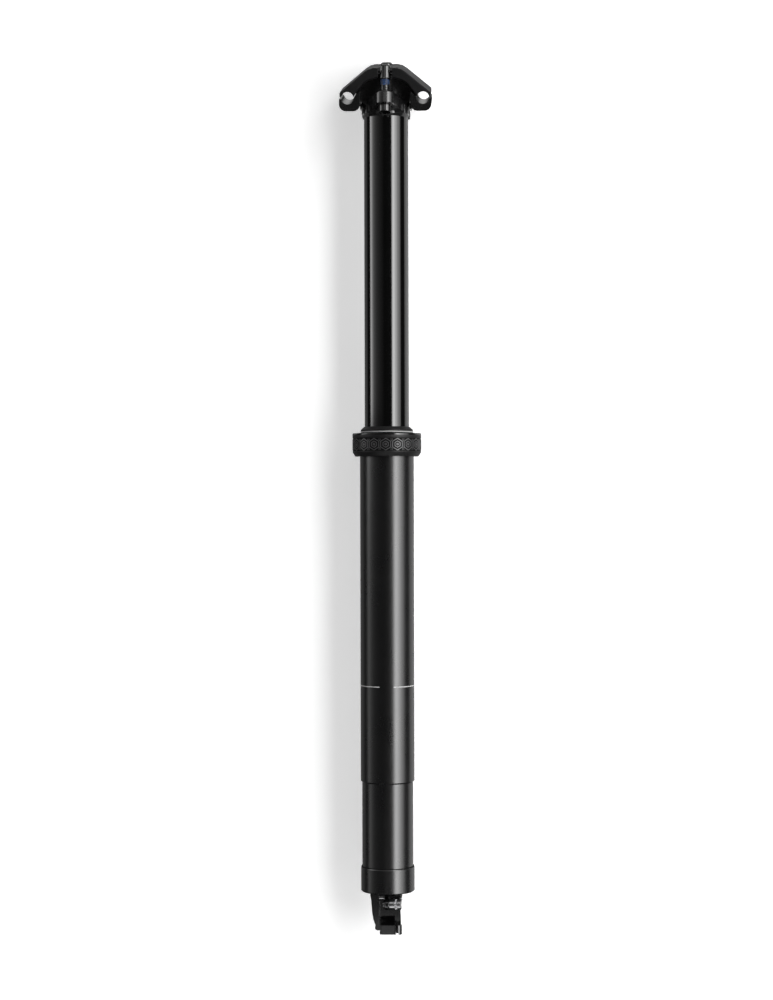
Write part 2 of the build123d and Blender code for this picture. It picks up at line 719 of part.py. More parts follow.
def make_cup(side):
    """One lower rail cup, a rounded channel under the rail."""
    corner_r = CUP_DROP - rail_r
    half = CRADLE_LENGTH / 2
    inner = side * cup_inner_x
    outer = side * cup_outer_x
    face = make_face(Polyline(
        (inner, -half, -LIP_GAP), (outer, -half, -LIP_GAP), (outer, -half, -CUP_DROP),
        (inner, -half, -CUP_DROP), close=True,
    ))
    low_corners = face.vertices().group_by(Axis.Z)[0]
    cup = extrude(fillet(low_corners, corner_r), amount=CRADLE_LENGTH, dir=(0, 1, 0))
    seat_x = side * (rail_x - rail_r)
    flank_x = side * (cup_inner_x + rail_x - rail_r) / 2
    cup += front_cut(
        ((inner, -2 * LIP_GAP), (inner, FLANK_RISE), (flank_x, FLANK_RISE / 2),
         (seat_x, 0), (seat_x, -2 * LIP_GAP)),
        -half, half,
    )
    return cup - Pos(side * rail_x, 0, 0) * Rot(90, 0, 0) * Cylinder(rail_r, 2 * CRADLE_LENGTH)


def arch_inside():
    """The right half of the arch's inner outline, from the middle outwards."""
    inner_shares = ((0.18, 1.0), (0.43, 0.87), (0.58, 0.70), (0.75, 0.30))
    return [(rail_x * x, ARCH_RISE * z) for x, z in inner_shares]


def rib_outline(rise, side, bottom):
    """The bridge's cross rib, which stands up into the arch."""
    half = [(x, z + rise) for x, z in arch_inside()]
    outer_z = half[-1][1] - side + half[-1][0]
    return mirrored(half + [(side, outer_z), (side, bottom)])


def make_lower_cradle():
    """The lower half of the clamp: two cups on a bridge whose round belly rocks in the head."""
    reach = cup_inner_x + EDGE
    belly = cross_bar(SADDLE_RADIUS, -reach, reach, 0, 0)
    belly -= block(-rail_x, rail_x, -SADDLE_RADIUS, SADDLE_RADIUS, 0, SADDLE_RADIUS)
    foot_share = 0.2
    foot = block(
        -reach, reach, -BRIDGE_LENGTH / 2, BRIDGE_LENGTH / 2, -SADDLE_RADIUS * foot_share, LIP_GAP
    )
    rib_side = rail_x - rail_r - 2 * LIP_GAP
    rib = front_cut(rib_outline(RIB_RISE, rib_side, -LIP_GAP), -BRIDGE_LENGTH / 2, BRIDGE_LENGTH / 2)
    body = belly + foot + rib + make_cup(-1) + make_cup(1)
    return clamp_frame * body


def nut_slots():
    """The open slots and cross pockets for the two nuts, in the clamp's frame."""
    pocket_r = NUT_CROSS_OD / 2 + RUN_GAP
    pocket_half = NUT_CROSS_LENGTH / 2 + EDGE
    half = SLOT_WIDTH / 2
    top = 2 * CLAMP_RISE
    cuts = []
    for side in (-1, 1):
        start = side * (UPPER_LENGTH / 2 + OVERRUN)
        end = side * (nut_reach - 2 * NUT_CROSS_OD + NUT_BODY_OD / 2)
        cuts.append(block(-half, half, min(start, end), max(start, end), 0, top))
        y = side * nut_reach
        cuts.append(cross_bar(pocket_r, -pocket_half, pocket_half, y, NUT_RISE))
        cuts.append(block(-pocket_half, pocket_half, y - pocket_r, y + pocket_r, NUT_RISE, top))
    return cuts


def under_bevel(side):
    """What the wide bevel takes away under one end of the arch."""
    end = side * (UPPER_LENGTH / 2 + OVERRUN)
    deep = end - side * (UNDER_BEVEL + OVERRUN)
    base = [(x, z) for x, z in arch_inside()] + [(rail_x - rail_r, LIP_GAP)]
    loops = []
    for y, rise in ((deep, -EDGE), (end, UNDER_BEVEL + OVERRUN - EDGE)):
        outline = mirrored([(x, z + rise) for x, z in base] + [(base[-1][0], -OVERRUN)])
        loops.append(make_face(Polyline(*[(x, y, z) for x, z in outline], close=True)))
    return loft(loops, ruled=True)


def make_upper_clamp():
    """The upper half of the clamp: an arch over the bridge with a nut slot in each end."""
    tip_x = cup_outer_x - EDGE
    tip_z = rail_r - EDGE / 2
    outer_shares = ((0.29, 1.0), (0.44, 0.955), (0.55, 0.865))
    half = [(rail_x * x, CLAMP_RISE * z) for x, z in outer_shares]
    half += [(tip_x - EDGE, tip_z), (tip_x, tip_z - EDGE), (tip_x, LIP_GAP)]
    half.append((rail_x - rail_r, LIP_GAP))
    half += reversed(arch_inside())
    length = UPPER_LENGTH / 2
    body = front_cut(mirrored(half), -length, length)
    body = chamfer(body.faces().filter_by(Axis.Y).edges(), EDGE)
    for side in (-1, 1):
        body -= under_bevel(side)
    recess_half = BRIDGE_LENGTH / 2 + RIB_GAP
    recess_side = rail_x - rail_r - LIP_GAP
    body -= front_cut(rib_outline(RIB_RISE + RIB_GAP, recess_side, 0), -recess_half, recess_half)
    for side in (-1, 1):
        body -= Pos(side * rail_x, 0, 0) * Rot(90, 0, 0) * Cylinder(rail_r, 2 * UPPER_LENGTH)
    for cut in nut_slots():
        body -= cut
    return clamp_frame * body


def make_swivel_washer(low):
    """The domed washer under a bolt's head."""
    dome = Sphere(WASHER_SPHERE) & Cylinder(WASHER_OD / 2, 2 * WASHER_SPHERE, align=BASE)
    dome -= Cylinder(WASHER_OD, 2 * WASHER_BASE)
    dome -= Cylinder(BOLT_OD / 2 + THREAD_GAP, 4 * WASHER_SPHERE)
    return low * dome


def make_clamp_bolt(low, rise):
    """One socket-head bolt, from its head below the lug to its end inside the nut."""
    head_top = WASHER_BASE - RUN_GAP
    head = Pos(0, 0, head_top - BOLT_HEAD_HEIGHT) * Cylinder(BOLT_HEAD_OD / 2, BOLT_HEAD_HEIGHT, align=BASE)
    head = fillet(head.edges().filter_by(GeomType.CIRCLE).sort_by(Axis.Z)[0], EDGE)
    end = rise - THREAD_GAP * BOLT_OD * 2
    shank = Cylinder(BOLT_OD / 2, end, align=BASE)
    shank = chamfer(shank.edges().filter_by(GeomType.CIRCLE).sort_by(Axis.Z)[-1], EDGE)
    key_depth = BOLT_HEAD_HEIGHT * 2 / 3
    key = Pos(0, 0, head_top - BOLT_HEAD_HEIGHT - OVERRUN) * extrude(
        RegularPolygon(BOLT_KEY / 2, 6, major_radius=False), amount=key_depth + OVERRUN
    )
    return low * (head + shank - key)


def make_clamp_nut(high):
    """One domed sleeve nut with its cross bar, which rocks in the upper clamp."""
    body_r = NUT_BODY_OD / 2
    sleeve = turned(
        (0, -NUT_BELOW), (body_r - EDGE, -NUT_BELOW), (body_r, EDGE - NUT_BELOW),
        (body_r, NUT_ABOVE - NUT_DOME), (body_r - NUT_DOME / 3, NUT_ABOVE - NUT_DOME / 3),
        (body_r - NUT_DOME, NUT_ABOVE), (0, NUT_ABOVE),
    )
    half = NUT_CROSS_LENGTH / 2
    body = sleeve + cross_bar(NUT_CROSS_OD / 2, -half, half, 0, 0)
    depth = NUT_BELOW + NUT_ABOVE - NUT_DOME
    bore = Pos(0, 0, -NUT_BELOW - OVERRUN) * Cylinder(
        BOLT_OD / 2 + NUT_BORE_GAP, depth + OVERRUN, align=BASE
    )
    return high * (body - bore)


# The remote lever's mechanism under the cap

def screw_places():
    """Where the two bracket screws stand, behind the axis."""
    a = math.radians(SCREW_ANGLE)
    return [(side * SCREW_RADIUS * math.cos(a), SCREW_RADIUS * math.sin(a)) for side in (-1, 1)]


def make_left_cheek():
    """The deep curved cheek on the left, tapered to a rounded foot."""
    left = -BRACKET_LEFT
    taper_shares = (
        (1.0, 0.0), (0.95, 0.15), (0.92, 0.39), (0.89, 0.61), (0.83, 0.83), (0.735, 1.0)
    )
    outline = [(left * x, flange_bottom - (CHEEK_DROP - FLANGE_THICKNESS) * z) for x, z in taper_shares]
    outline.append((-CHEEK_GAP_LEFT, cheek_bottom))
    outline.append((-CHEEK_GAP_LEFT, cap_bottom - RUN_GAP))
    outline.append((left, cap_bottom - RUN_GAP))
    cheek = front_cut(outline, -CHEEK_FRONT, BRACKET_BACK)
    foot_r = (BRACKET_LEFT - CHEEK_GAP_LEFT) / 3
    foot_x = left * taper_shares[-1][0] + foot_r
    foot_z = cheek_bottom - foot_r - EDGE
    foot = Pos(foot_x, EDGE - CHEEK_FRONT, foot_z) * Rot(-90, 0, 0) * Cylinder(
        foot_r, CHEEK_FRONT + BRACKET_BACK - 2 * EDGE, align=BASE
    )
    neck_half = foot_r - EDGE / 2
    neck = block(
        foot_x - neck_half, foot_x + neck_half, EDGE - CHEEK_FRONT, BRACKET_BACK - EDGE,
        foot_z, cheek_bottom + EDGE,
    )
    return cheek + foot + neck


def make_right_cheek():
    """The narrower cheek on the right, round in front where the cable anchor swings past it."""
    nose_r = PIVOT_OD / 2 + FLANGE_THICKNESS - 2 * RUN_GAP
    left = CHEEK_GAP_RIGHT
    right = BRACKET_RIGHT - EDGE
    front = pivot_y + LEVER_GAP
    top = cap_bottom - RUN_GAP
    cheek = front_cut(
        ((left, bracket_bottom), (BRACKET_RIGHT + EDGE, bracket_bottom), (right, top), (left, top)),
        front, BRACKET_BACK,
    )
    return cheek + cross_bar(nose_r, left, right, pivot_y, pivot_z)


def make_cable_stop():
    """The slotted round stop that takes the cable's housing from below."""
    stop = Pos(STOP_X, -CABLE_Y, bracket_bottom) * Cylinder(STOP_OD / 2, FOOT_HEIGHT, align=BASE)
    half = STOP_OD / 2 - 2 * EDGE
    return stop + block(
        STOP_X - half, STOP_X + half, -CABLE_Y, BRACKET_BACK - EDGE, bracket_bottom, cheek_bottom
    )


def make_bracket():
    """The bracket: flange under the cap, two cheeks, back wall and a foot with the cable stop."""
    flange = disc(FLANGE_RADIUS, flange_bottom, cap_bottom - RUN_GAP)
    flange = flange & block(
        -BRACKET_LEFT, BRACKET_RIGHT, -CHEEK_FRONT, FLANGE_RADIUS, flange_bottom, cap_bottom
    )
    body = flange + make_left_cheek() + make_right_cheek()
    body += block(
        -CHEEK_GAP_LEFT - EDGE, CHEEK_GAP_RIGHT + EDGE, BRACKET_BACK - BACK_WALL, BRACKET_BACK,
        bracket_bottom, cap_bottom - RUN_GAP,
    )
    foot_left = -CHEEK_GAP_LEFT + EDGE
    foot_front = -CABLE_Y - STOP_OD / 2 + EDGE
    foot = block(foot_left, STOP_X, foot_front, BRACKET_BACK - EDGE, bracket_bottom, cheek_bottom)
    foot = chamfer(foot.edges().filter_by(Axis.Z).sort_by(Axis.X)[0:2].sort_by(Axis.Y)[0], FOOT_BEVEL)
    body += foot + make_cable_stop()
    body += block(
        -CHEEK_GAP_LEFT - EDGE, foot_left + 3 * EDGE, 0, BRACKET_BACK - EDGE,
        bracket_bottom + EDGE, cheek_bottom + EDGE,
    )
    window_back = BRACKET_BACK - BACK_WALL
    body -= block(
        -CHEEK_GAP_LEFT, CHEEK_GAP_RIGHT, -CHEEK_FRONT - OVERRUN, window_back,
        flange_bottom - OVERRUN, cap_bottom + OVERRUN,
    )
    body -= cross_bar(PIVOT_OD / 2 + SEAT_GAP, -2 * BRACKET_LEFT, 2 * BRACKET_RIGHT, pivot_y, pivot_z)
    body -= Pos(STOP_X, -CABLE_Y, bracket_bottom - OVERRUN) * Cylinder(
        STOP_BORE / 2, STOP_DEPTH + OVERRUN, align=BASE
    )
    body -= Pos(STOP_X, -CABLE_Y, bracket_bottom) * Cylinder(CABLE_OD / 2, 2 * FOOT_HEIGHT, align=BASE)
    half = STOP_SLOT / 2
    body -= block(
        STOP_X - half, STOP_X + half, -CABLE_Y - STOP_OD, -CABLE_Y,
        bracket_bottom - OVERRUN, cheek_bottom + OVERRUN,
    )
    for x, y in screw_places():
        body -= Pos(x, y, flange_bottom - OVERRUN) * Cylinder(
            SCREW_OD / 2 + THREAD_GAP, FLANGE_THICKNESS + 2 * OVERRUN, align=BASE
        )
    return body


def make_bracket_screws():
    """The two screws that hold the bracket to the cap."""
    top = flange_bottom + FLANGE_THICKNESS + SCREW_LENGTH - EDGE
    screws = []
    for x, y in screw_places():
        head = Pos(x, y, flange_bottom - SCREW_HEAD_HEIGHT) * Cylinder(
            SCREW_HEAD_OD / 2, SCREW_HEAD_HEIGHT - RUN_GAP, align=BASE
        )
        shank = Pos(x, y, flange_bottom - SCREW_HEAD_HEIGHT) * Cylinder(
            SCREW_OD / 2, top - flange_bottom + SCREW_HEAD_HEIGHT, align=BASE
        )
        key = Pos(x, y, flange_bottom - SCREW_HEAD_HEIGHT - OVERRUN) * extrude(
            RegularPolygon(SCREW_OD / 2, 6), amount=OVERRUN + SCREW_HEAD_HEIGHT / 2
        )
        screws.append(head + shank - key)
    return Compound(children=screws)


def make_lever_pin():
    """The pin that the lever turns on."""
    left = -BRACKET_LEFT + EDGE
    right = BRACKET_RIGHT + FLANGE_THICKNESS / 2
    return cross_bar(PIVOT_OD / 2, left, right, pivot_y, pivot_z)


def make_pivot_clip():
    """The clip on the lever pin's right end."""
    left = BRACKET_RIGHT + RUN_GAP
    right = left + FLANGE_THICKNESS / 2 - EDGE / 2
    bore_r = PIVOT_OD / 2 + SEAT_GAP
    body = cross_bar(PIVOT_OD, left, right, pivot_y, pivot_z)
    return body - cross_bar(bore_r, left - OVERRUN, right + OVERRUN, pivot_y, pivot_z)


def make_lever():
    """The lever: a hub on the pin, a nose under the release pin and an arm to the cable anchor."""
    nose_half = NOSE_RADIUS + LEVER_GAP
    hub = cross_bar(HUB_OD / 2, -nose_half, HUB_RIGHT, pivot_y, pivot_z)
    nose = cross_bar(NOSE_RADIUS, -nose_half, nose_half, 0, pivot_z - NOSE_DROP)
    web = side_cut(
        ((pivot_y, pivot_z + NOSE_RADIUS / 2), (0, pivot_z - NOSE_DROP + NOSE_RADIUS / 2),
         (0, pivot_z - NOSE_DROP - NOSE_RADIUS), (pivot_y, pivot_z - HUB_OD / 2)),
        -nose_half, nose_half,
    )
    arm_right = ANCHOR_LEFT - LEVER_GAP
    arm_left = arm_right - ARM_THICKNESS
    hub_r = HUB_OD / 2
    eye_r = ARM_EYE_OD / 2
    run = math.hypot(ANCHOR_FORWARD, ANCHOR_DROP)
    ny, nz = -ANCHOR_DROP / run, ANCHOR_FORWARD / run
    strap = side_cut(
        ((pivot_y + ny * hub_r, pivot_z + nz * hub_r), (anchor_y + ny * eye_r, anchor_z + nz * eye_r),
         (anchor_y - ny * eye_r, anchor_z - nz * eye_r), (pivot_y - ny * hub_r, pivot_z - nz * hub_r)),
        arm_left, arm_right,
    )
    eye = cross_bar(eye_r, arm_left, arm_right, anchor_y, anchor_z)
    body = hub + nose + web + strap + eye
    body -= cross_bar(PIVOT_OD / 2 + RUN_GAP, -rail_x, rail_x, pivot_y, pivot_z)
    return body - cross_bar(ANCHOR_STUB_OD / 2 + RUN_GAP, -rail_x, rail_x, anchor_y, anchor_z)


def make_cable_anchor():
    """The slotted barrel that grips the cable, with a stub through the lever's eye."""
    barrel = cross_bar(ANCHOR_OD / 2, ANCHOR_LEFT, ANCHOR_LEFT + ANCHOR_LENGTH, anchor_y, anchor_z)
    barrel = chamfer(barrel.edges().filter_by(GeomType.CIRCLE), EDGE)
    stub_left = ANCHOR_LEFT - ARM_THICKNESS - 2 * LEVER_GAP - FLANGE_THICKNESS / 2
    body = barrel + cross_bar(ANCHOR_STUB_OD / 2, stub_left, ANCHOR_LEFT + EDGE, anchor_y, anchor_z)
    half = CABLE_SLOT / 2
    body -= block(
        CABLE_X - half, CABLE_X + half, anchor_y - ANCHOR_OD, anchor_y,
        anchor_z - ANCHOR_OD, anchor_z + ANCHOR_OD,
    )
    hole = Pos(CABLE_X, anchor_y, anchor_z) * Cylinder(CABLE_OD / 2, 2 * ANCHOR_OD)
    return body - hole


def make_anchor_clip():
    """The clip on the anchor's stub."""
    right = ANCHOR_LEFT - ARM_THICKNESS - 2 * LEVER_GAP
    left = right - FLANGE_THICKNESS / 2 + LEVER_GAP
    bore_r = ANCHOR_STUB_OD / 2 + SEAT_GAP
    body = cross_bar(bore_r + OVERRUN, left, right, anchor_y, anchor_z)
    return body - cross_bar(bore_r, left - OVERRUN, right + OVERRUN, anchor_y, anchor_z)


nodes = {
    "outer_tube": make_outer_tube,
    "bottom_cap": make_bottom_cap,
    "upper_bushing": make_upper_bushing,
    "bushing_clip": make_bushing_clip,
    "foam_ring": make_foam_ring,
    "collar": make_collar,
    "wiper_seal": make_wiper_seal,
    "wiper_ring": make_wiper_ring,
    "stanchion": make_stanchion,
    "guide_keys": make_guide_keys,
    "guide_shoe": make_guide_shoe,
    "cartridge_cylinder": make_cartridge_cylinder,
    "cartridge_gland": make_cartridge_gland,
    "rod_seal": make_rod_seal,
    "gland_clip": make_gland_clip,
    "top_plug": make_top_plug,
    "plug_ring": make_plug_ring,
    "fill_screw": make_fill_screw,
    "cartridge_nut": make_cartridge_nut,
    "floating_piston": make_floating_piston,
    "floating_ring": make_floating_ring,
    "piston_rod": make_piston_rod,
    "main_piston": make_main_piston,
    "piston_seal": make_piston_seal,
    "piston_nut": make_piston_nut,
    "topout_bumper": make_topout_bumper,
    "foot_washer": make_foot_washer,
    "foot_nut": make_foot_nut,
    "release_pin": make_release_pin,
    "valve_spring": make_valve_spring,
    "head": make_head,
    "lower_cradle": make_lower_cradle,
    "upper_clamp": make_upper_clamp,
    "front_washer": lambda: make_swivel_washer(front_low),
    "rear_washer": lambda: make_swivel_washer(rear_low),
    "front_bolt": lambda: make_clamp_bolt(front_low, front_rise),
    "rear_bolt": lambda: make_clamp_bolt(rear_low, rear_rise),
    "front_nut": lambda: make_clamp_nut(front_high),
    "rear_nut": lambda: make_clamp_nut(rear_high),
    "actuator_bracket": make_bracket,
    "bracket_screws": make_bracket_screws,
    "lever": make_lever,
    "lever_pin": make_lever_pin,
    "pivot_clip": make_pivot_clip,
    "cable_anchor": make_cable_anchor,
    "anchor_clip": make_anchor_clip,
}

os.makedirs("parts", exist_ok=True)
for name, make in nodes.items():
    export_step(make(), f"parts/{name}.step")
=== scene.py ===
"""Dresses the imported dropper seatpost: a finish for every piece, fine modelled details and the studio."""
import math

import bmesh
import bpy
from mathutils import Matrix, Vector


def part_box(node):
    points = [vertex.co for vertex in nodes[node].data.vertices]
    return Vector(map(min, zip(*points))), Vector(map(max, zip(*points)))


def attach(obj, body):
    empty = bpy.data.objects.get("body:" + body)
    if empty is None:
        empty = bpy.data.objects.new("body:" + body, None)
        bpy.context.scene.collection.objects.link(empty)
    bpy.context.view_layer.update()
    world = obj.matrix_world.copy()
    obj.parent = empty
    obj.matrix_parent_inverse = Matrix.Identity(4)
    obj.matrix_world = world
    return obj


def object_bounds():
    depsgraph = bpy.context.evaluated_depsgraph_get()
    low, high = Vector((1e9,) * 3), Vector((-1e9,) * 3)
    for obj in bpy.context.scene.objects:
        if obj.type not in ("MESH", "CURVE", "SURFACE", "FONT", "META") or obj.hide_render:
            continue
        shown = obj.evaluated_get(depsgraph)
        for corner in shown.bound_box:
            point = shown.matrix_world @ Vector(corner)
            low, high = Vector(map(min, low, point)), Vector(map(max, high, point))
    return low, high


bl_info = {
    "name": "Dropper Seatpost",
    "version": (1, 0, 0),
    "blender": (4, 5, 0),
    "location": "3D View > Sidebar > Seatpost",
    "description": "Finishes, fine details and a studio for a dropper seatpost",
    "category": "Object",
}

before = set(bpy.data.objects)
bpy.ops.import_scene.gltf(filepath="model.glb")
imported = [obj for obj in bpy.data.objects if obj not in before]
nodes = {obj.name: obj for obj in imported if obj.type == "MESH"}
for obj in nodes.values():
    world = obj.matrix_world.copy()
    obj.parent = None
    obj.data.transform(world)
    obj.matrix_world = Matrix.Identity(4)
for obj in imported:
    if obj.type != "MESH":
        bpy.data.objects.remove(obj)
cad_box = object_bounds()

MM = 0.001
FULL_TURN = 2 * math.pi
ROUND_STEPS = 96


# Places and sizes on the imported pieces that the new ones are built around

def box_radius(node):
    """The outer radius of a round piece on the post's axis."""
    low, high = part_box(node)
    return (high.x - low.x) / 2


TUBE_RADIUS = 15.8 * MM
BOLT_RADIUS = 2.5 * MM
# Each clamp bolt's swivel washer and nut, as y and z
FRONT_BOLT = ((-20.0 * MM, 201.5 * MM), (-16.413 * MM, 223.328 * MM))
REAR_BOLT = ((16.6 * MM, 206.5 * MM), (8.701 * MM, 230.057 * MM))
COLLAR_RADIUS = box_radius("collar")
COLLAR_LOW, COLLAR_HIGH = (corner.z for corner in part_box("collar"))
COLLAR_MIDDLE = (COLLAR_LOW + COLLAR_HIGH) / 2
# The band round the collar that holds the grip pattern
BAND_HEIGHT = 7.6 * MM
BAND_DEPTH = 0.35 * MM


# Small helpers for meshes

def new_piece(name, bm, material, body, smooth_angle=35.0):
    """Adds an object made from a bmesh: smoothed up to an angle, in its material, riding on a body."""
    mesh = bpy.data.meshes.new(name)
    bm.to_mesh(mesh)
    bm.free()
    mesh.shade_smooth()
    mesh.set_sharp_from_angle(angle=math.radians(smooth_angle))
    piece = bpy.data.objects.new(name, mesh)
    bpy.context.scene.collection.objects.link(piece)
    piece.data.materials.append(material)
    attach(piece, body)


def turned_ring(inner, outer, low, high):
    """A ring round the post's axis with a rectangular section, from two radii and two heights."""
    bm = bmesh.new()
    outline = ((inner, low), (outer, low), (outer, high), (inner, high), (inner, low))
    points = [bm.verts.new((radius, 0, height)) for radius, height in outline]
    edges = [bm.edges.new(pair) for pair in zip(points, points[1:])]
    bmesh.ops.spin(
        bm, geom=points + edges, cent=(0, 0, 0), axis=(0, 0, 1), dvec=(0, 0, 0),
        angle=FULL_TURN, steps=ROUND_STEPS, use_merge=True, use_duplicate=False,
    )
    bmesh.ops.remove_doubles(bm, verts=bm.verts, dist=0.001 * MM)
    bmesh.ops.recalc_face_normals(bm, faces=bm.faces)
    return bm


# Small helpers for materials

def feed(tree, value, socket):
    """Links a socket to an input, or sets any other value on the input."""
    if isinstance(value, bpy.types.NodeSocket):
        tree.links.new(value, socket)
    else:
        socket.default_value = value


def add_node(tree, kind, **inputs):
    """A shader node with its inputs fed by name."""
    node = tree.nodes.new(kind)
    for name, value in inputs.items():
        feed(tree, value, node.inputs[name.replace("_", " ")])
    return node


def math_node(tree, operation, first, second, clamp=False):
    """A Math node's result."""
    node = tree.nodes.new("ShaderNodeMath")
    node.operation = operation
    node.use_clamp = clamp
    feed(tree, first, node.inputs[0])
    feed(tree, second, node.inputs[1])
    return node.outputs["Value"]


def mix_colour(tree, mask, first, second):
    """One colour or the other, by a mask that changes over the surface."""
    node = tree.nodes.new("ShaderNodeMix")
    node.data_type = "RGBA"
    tree.links.new(mask, node.inputs["Factor"])
    for name, value in (("A", first), ("B", second)):
        socket = next(s for s in node.inputs if s.name == name and s.type == "RGBA")
        feed(tree, (*value, 1.0) if isinstance(value, tuple) else value, socket)
    return next(s for s in node.outputs if s.type == "RGBA")


def spread(tree, value, start, end, low=0.0, high=1.0):
    """A value that goes from low to high while another goes from start to end."""
    node = add_node(
        tree, "ShaderNodeMapRange", Value=value, From_Min=start, From_Max=end, To_Min=low, To_Max=high
    )
    return node.outputs["Result"]


def start_group(name, inputs, outputs):
    """A new shader node group with its sockets."""
    group = bpy.data.node_groups.new(name, "ShaderNodeTree")
    for label, kind, default in inputs:
        socket = group.interface.new_socket(label, in_out="INPUT", socket_type=kind)
        if default is not None:
            socket.default_value = default
    for label, kind in outputs:
        group.interface.new_socket(label, in_out="OUTPUT", socket_type=kind)
    return group, group.nodes.new("NodeGroupInput"), group.nodes.new("NodeGroupOutput")


def use_group(tree, group, **inputs):
    """A group placed in a material, with its own values."""
    node = tree.nodes.new("ShaderNodeGroup")
    node.node_tree = group
    for name, value in inputs.items():
        feed(tree, value, node.inputs[name.replace("_", " ")])
    return node


def make_grain_group():
    """Fine grain for the bump, and slow blotches for the roughness and the tone."""
    group, start, end = start_group(
        "Surface grain",
        (("Coordinates", "NodeSocketVector", None), ("Grain Scale", "NodeSocketFloat", 4000.0),
         ("Blotch Scale", "NodeSocketFloat", 60.0)),
        (("Height", "NodeSocketFloat"), ("Blotch", "NodeSocketFloat")),
    )
    fine = add_node(
        group, "ShaderNodeTexNoise", Vector=start.outputs["Coordinates"],
        Scale=start.outputs["Grain Scale"], Detail=3.0, Roughness=0.6,
    )
    slow = add_node(
        group, "ShaderNodeTexNoise", Vector=start.outputs["Coordinates"],
        Scale=start.outputs["Blotch Scale"], Detail=4.0, Roughness=0.55,
    )
    group.links.new(fine.outputs["Fac"], end.inputs["Height"])
    group.links.new(spread(group, slow.outputs["Fac"], 0.3, 0.7), end.inputs["Blotch"])
    return group


def make_wear_group():
    """A mask of the sharp edges, where handling thins the finish."""
    group, start, end = start_group(
        "Edge wear",
        (("Coordinates", "NodeSocketVector", None), ("Width", "NodeSocketFloat", 0.0004),
         ("Amount", "NodeSocketFloat", 1.0), ("Break Up Scale", "NodeSocketFloat", 900.0)),
        (("Mask", "NodeSocketFloat"),),
    )
    bevel = add_node(group, "ShaderNodeBevel", Radius=start.outputs["Width"])
    bevel.samples = 4
    plain = group.nodes.new("ShaderNodeNewGeometry")
    turn = group.nodes.new("ShaderNodeVectorMath")
    turn.operation = "DOT_PRODUCT"
    group.links.new(bevel.outputs["Normal"], turn.inputs[0])
    group.links.new(plain.outputs["Normal"], turn.inputs[1])
    edge = math_node(group, "SUBTRACT", 1.0, turn.outputs["Value"])
    edge = math_node(group, "MULTIPLY", edge, start.outputs["Amount"], clamp=True)
    chips = add_node(
        group, "ShaderNodeTexNoise", Vector=start.outputs["Coordinates"],
        Scale=start.outputs["Break Up Scale"], Detail=3.0,
    )
    kept = spread(group, chips.outputs["Fac"], 0.42, 0.62)
    mask = math_node(group, "MULTIPLY", edge, kept, clamp=True)
    group.links.new(mask, end.inputs["Mask"])
    return group


def make_turning_group():
    """Rings round the axis, as a lathe or a polishing belt leaves them."""
    group, start, end = start_group(
        "Turning marks",
        (("Coordinates", "NodeSocketVector", None), ("Ring Scale", "NodeSocketFloat", 900.0),
         ("Wander", "NodeSocketFloat", 1.5)),
        (("Height", "NodeSocketFloat"),),
    )
    wave = add_node(
        group, "ShaderNodeTexWave", Vector=start.outputs["Coordinates"],
        Scale=start.outputs["Ring Scale"], Distortion=start.outputs["Wander"], Detail=2.0,
    )
    wave.wave_type = "BANDS"
    wave.bands_direction = "Z"
    group.links.new(wave.outputs["Fac"], end.inputs["Height"])
    return group


def make_streak_group():
    """Faint streaks along the post, as sliding leaves them."""
    group, start, end = start_group(
        "Sliding streaks",
        (("Coordinates", "NodeSocketVector", None), ("Width Scale", "NodeSocketFloat", 1400.0)),
        (("Mask", "NodeSocketFloat"),),
    )
    stretch = add_node(
        group, "ShaderNodeMapping", Vector=start.outputs["Coordinates"], Scale=(1.0, 1.0, 0.02),
    )
    lines = add_node(
        group, "ShaderNodeTexNoise", Vector=stretch.outputs["Vector"],
        Scale=start.outputs["Width Scale"], Detail=2.0,
    )
    group.links.new(spread(group, lines.outputs["Fac"], 0.45, 0.75), end.inputs["Mask"])
    return group


grain_group = make_grain_group()
wear_group = make_wear_group()
turning_group = make_turning_group()
streak_group = make_streak_group()


# A polished rim's fade into the finish below it, and its roughness as a share of that finish's
RIM_BLEND = 0.1 * MM
RIM_GLOSS = 0.35


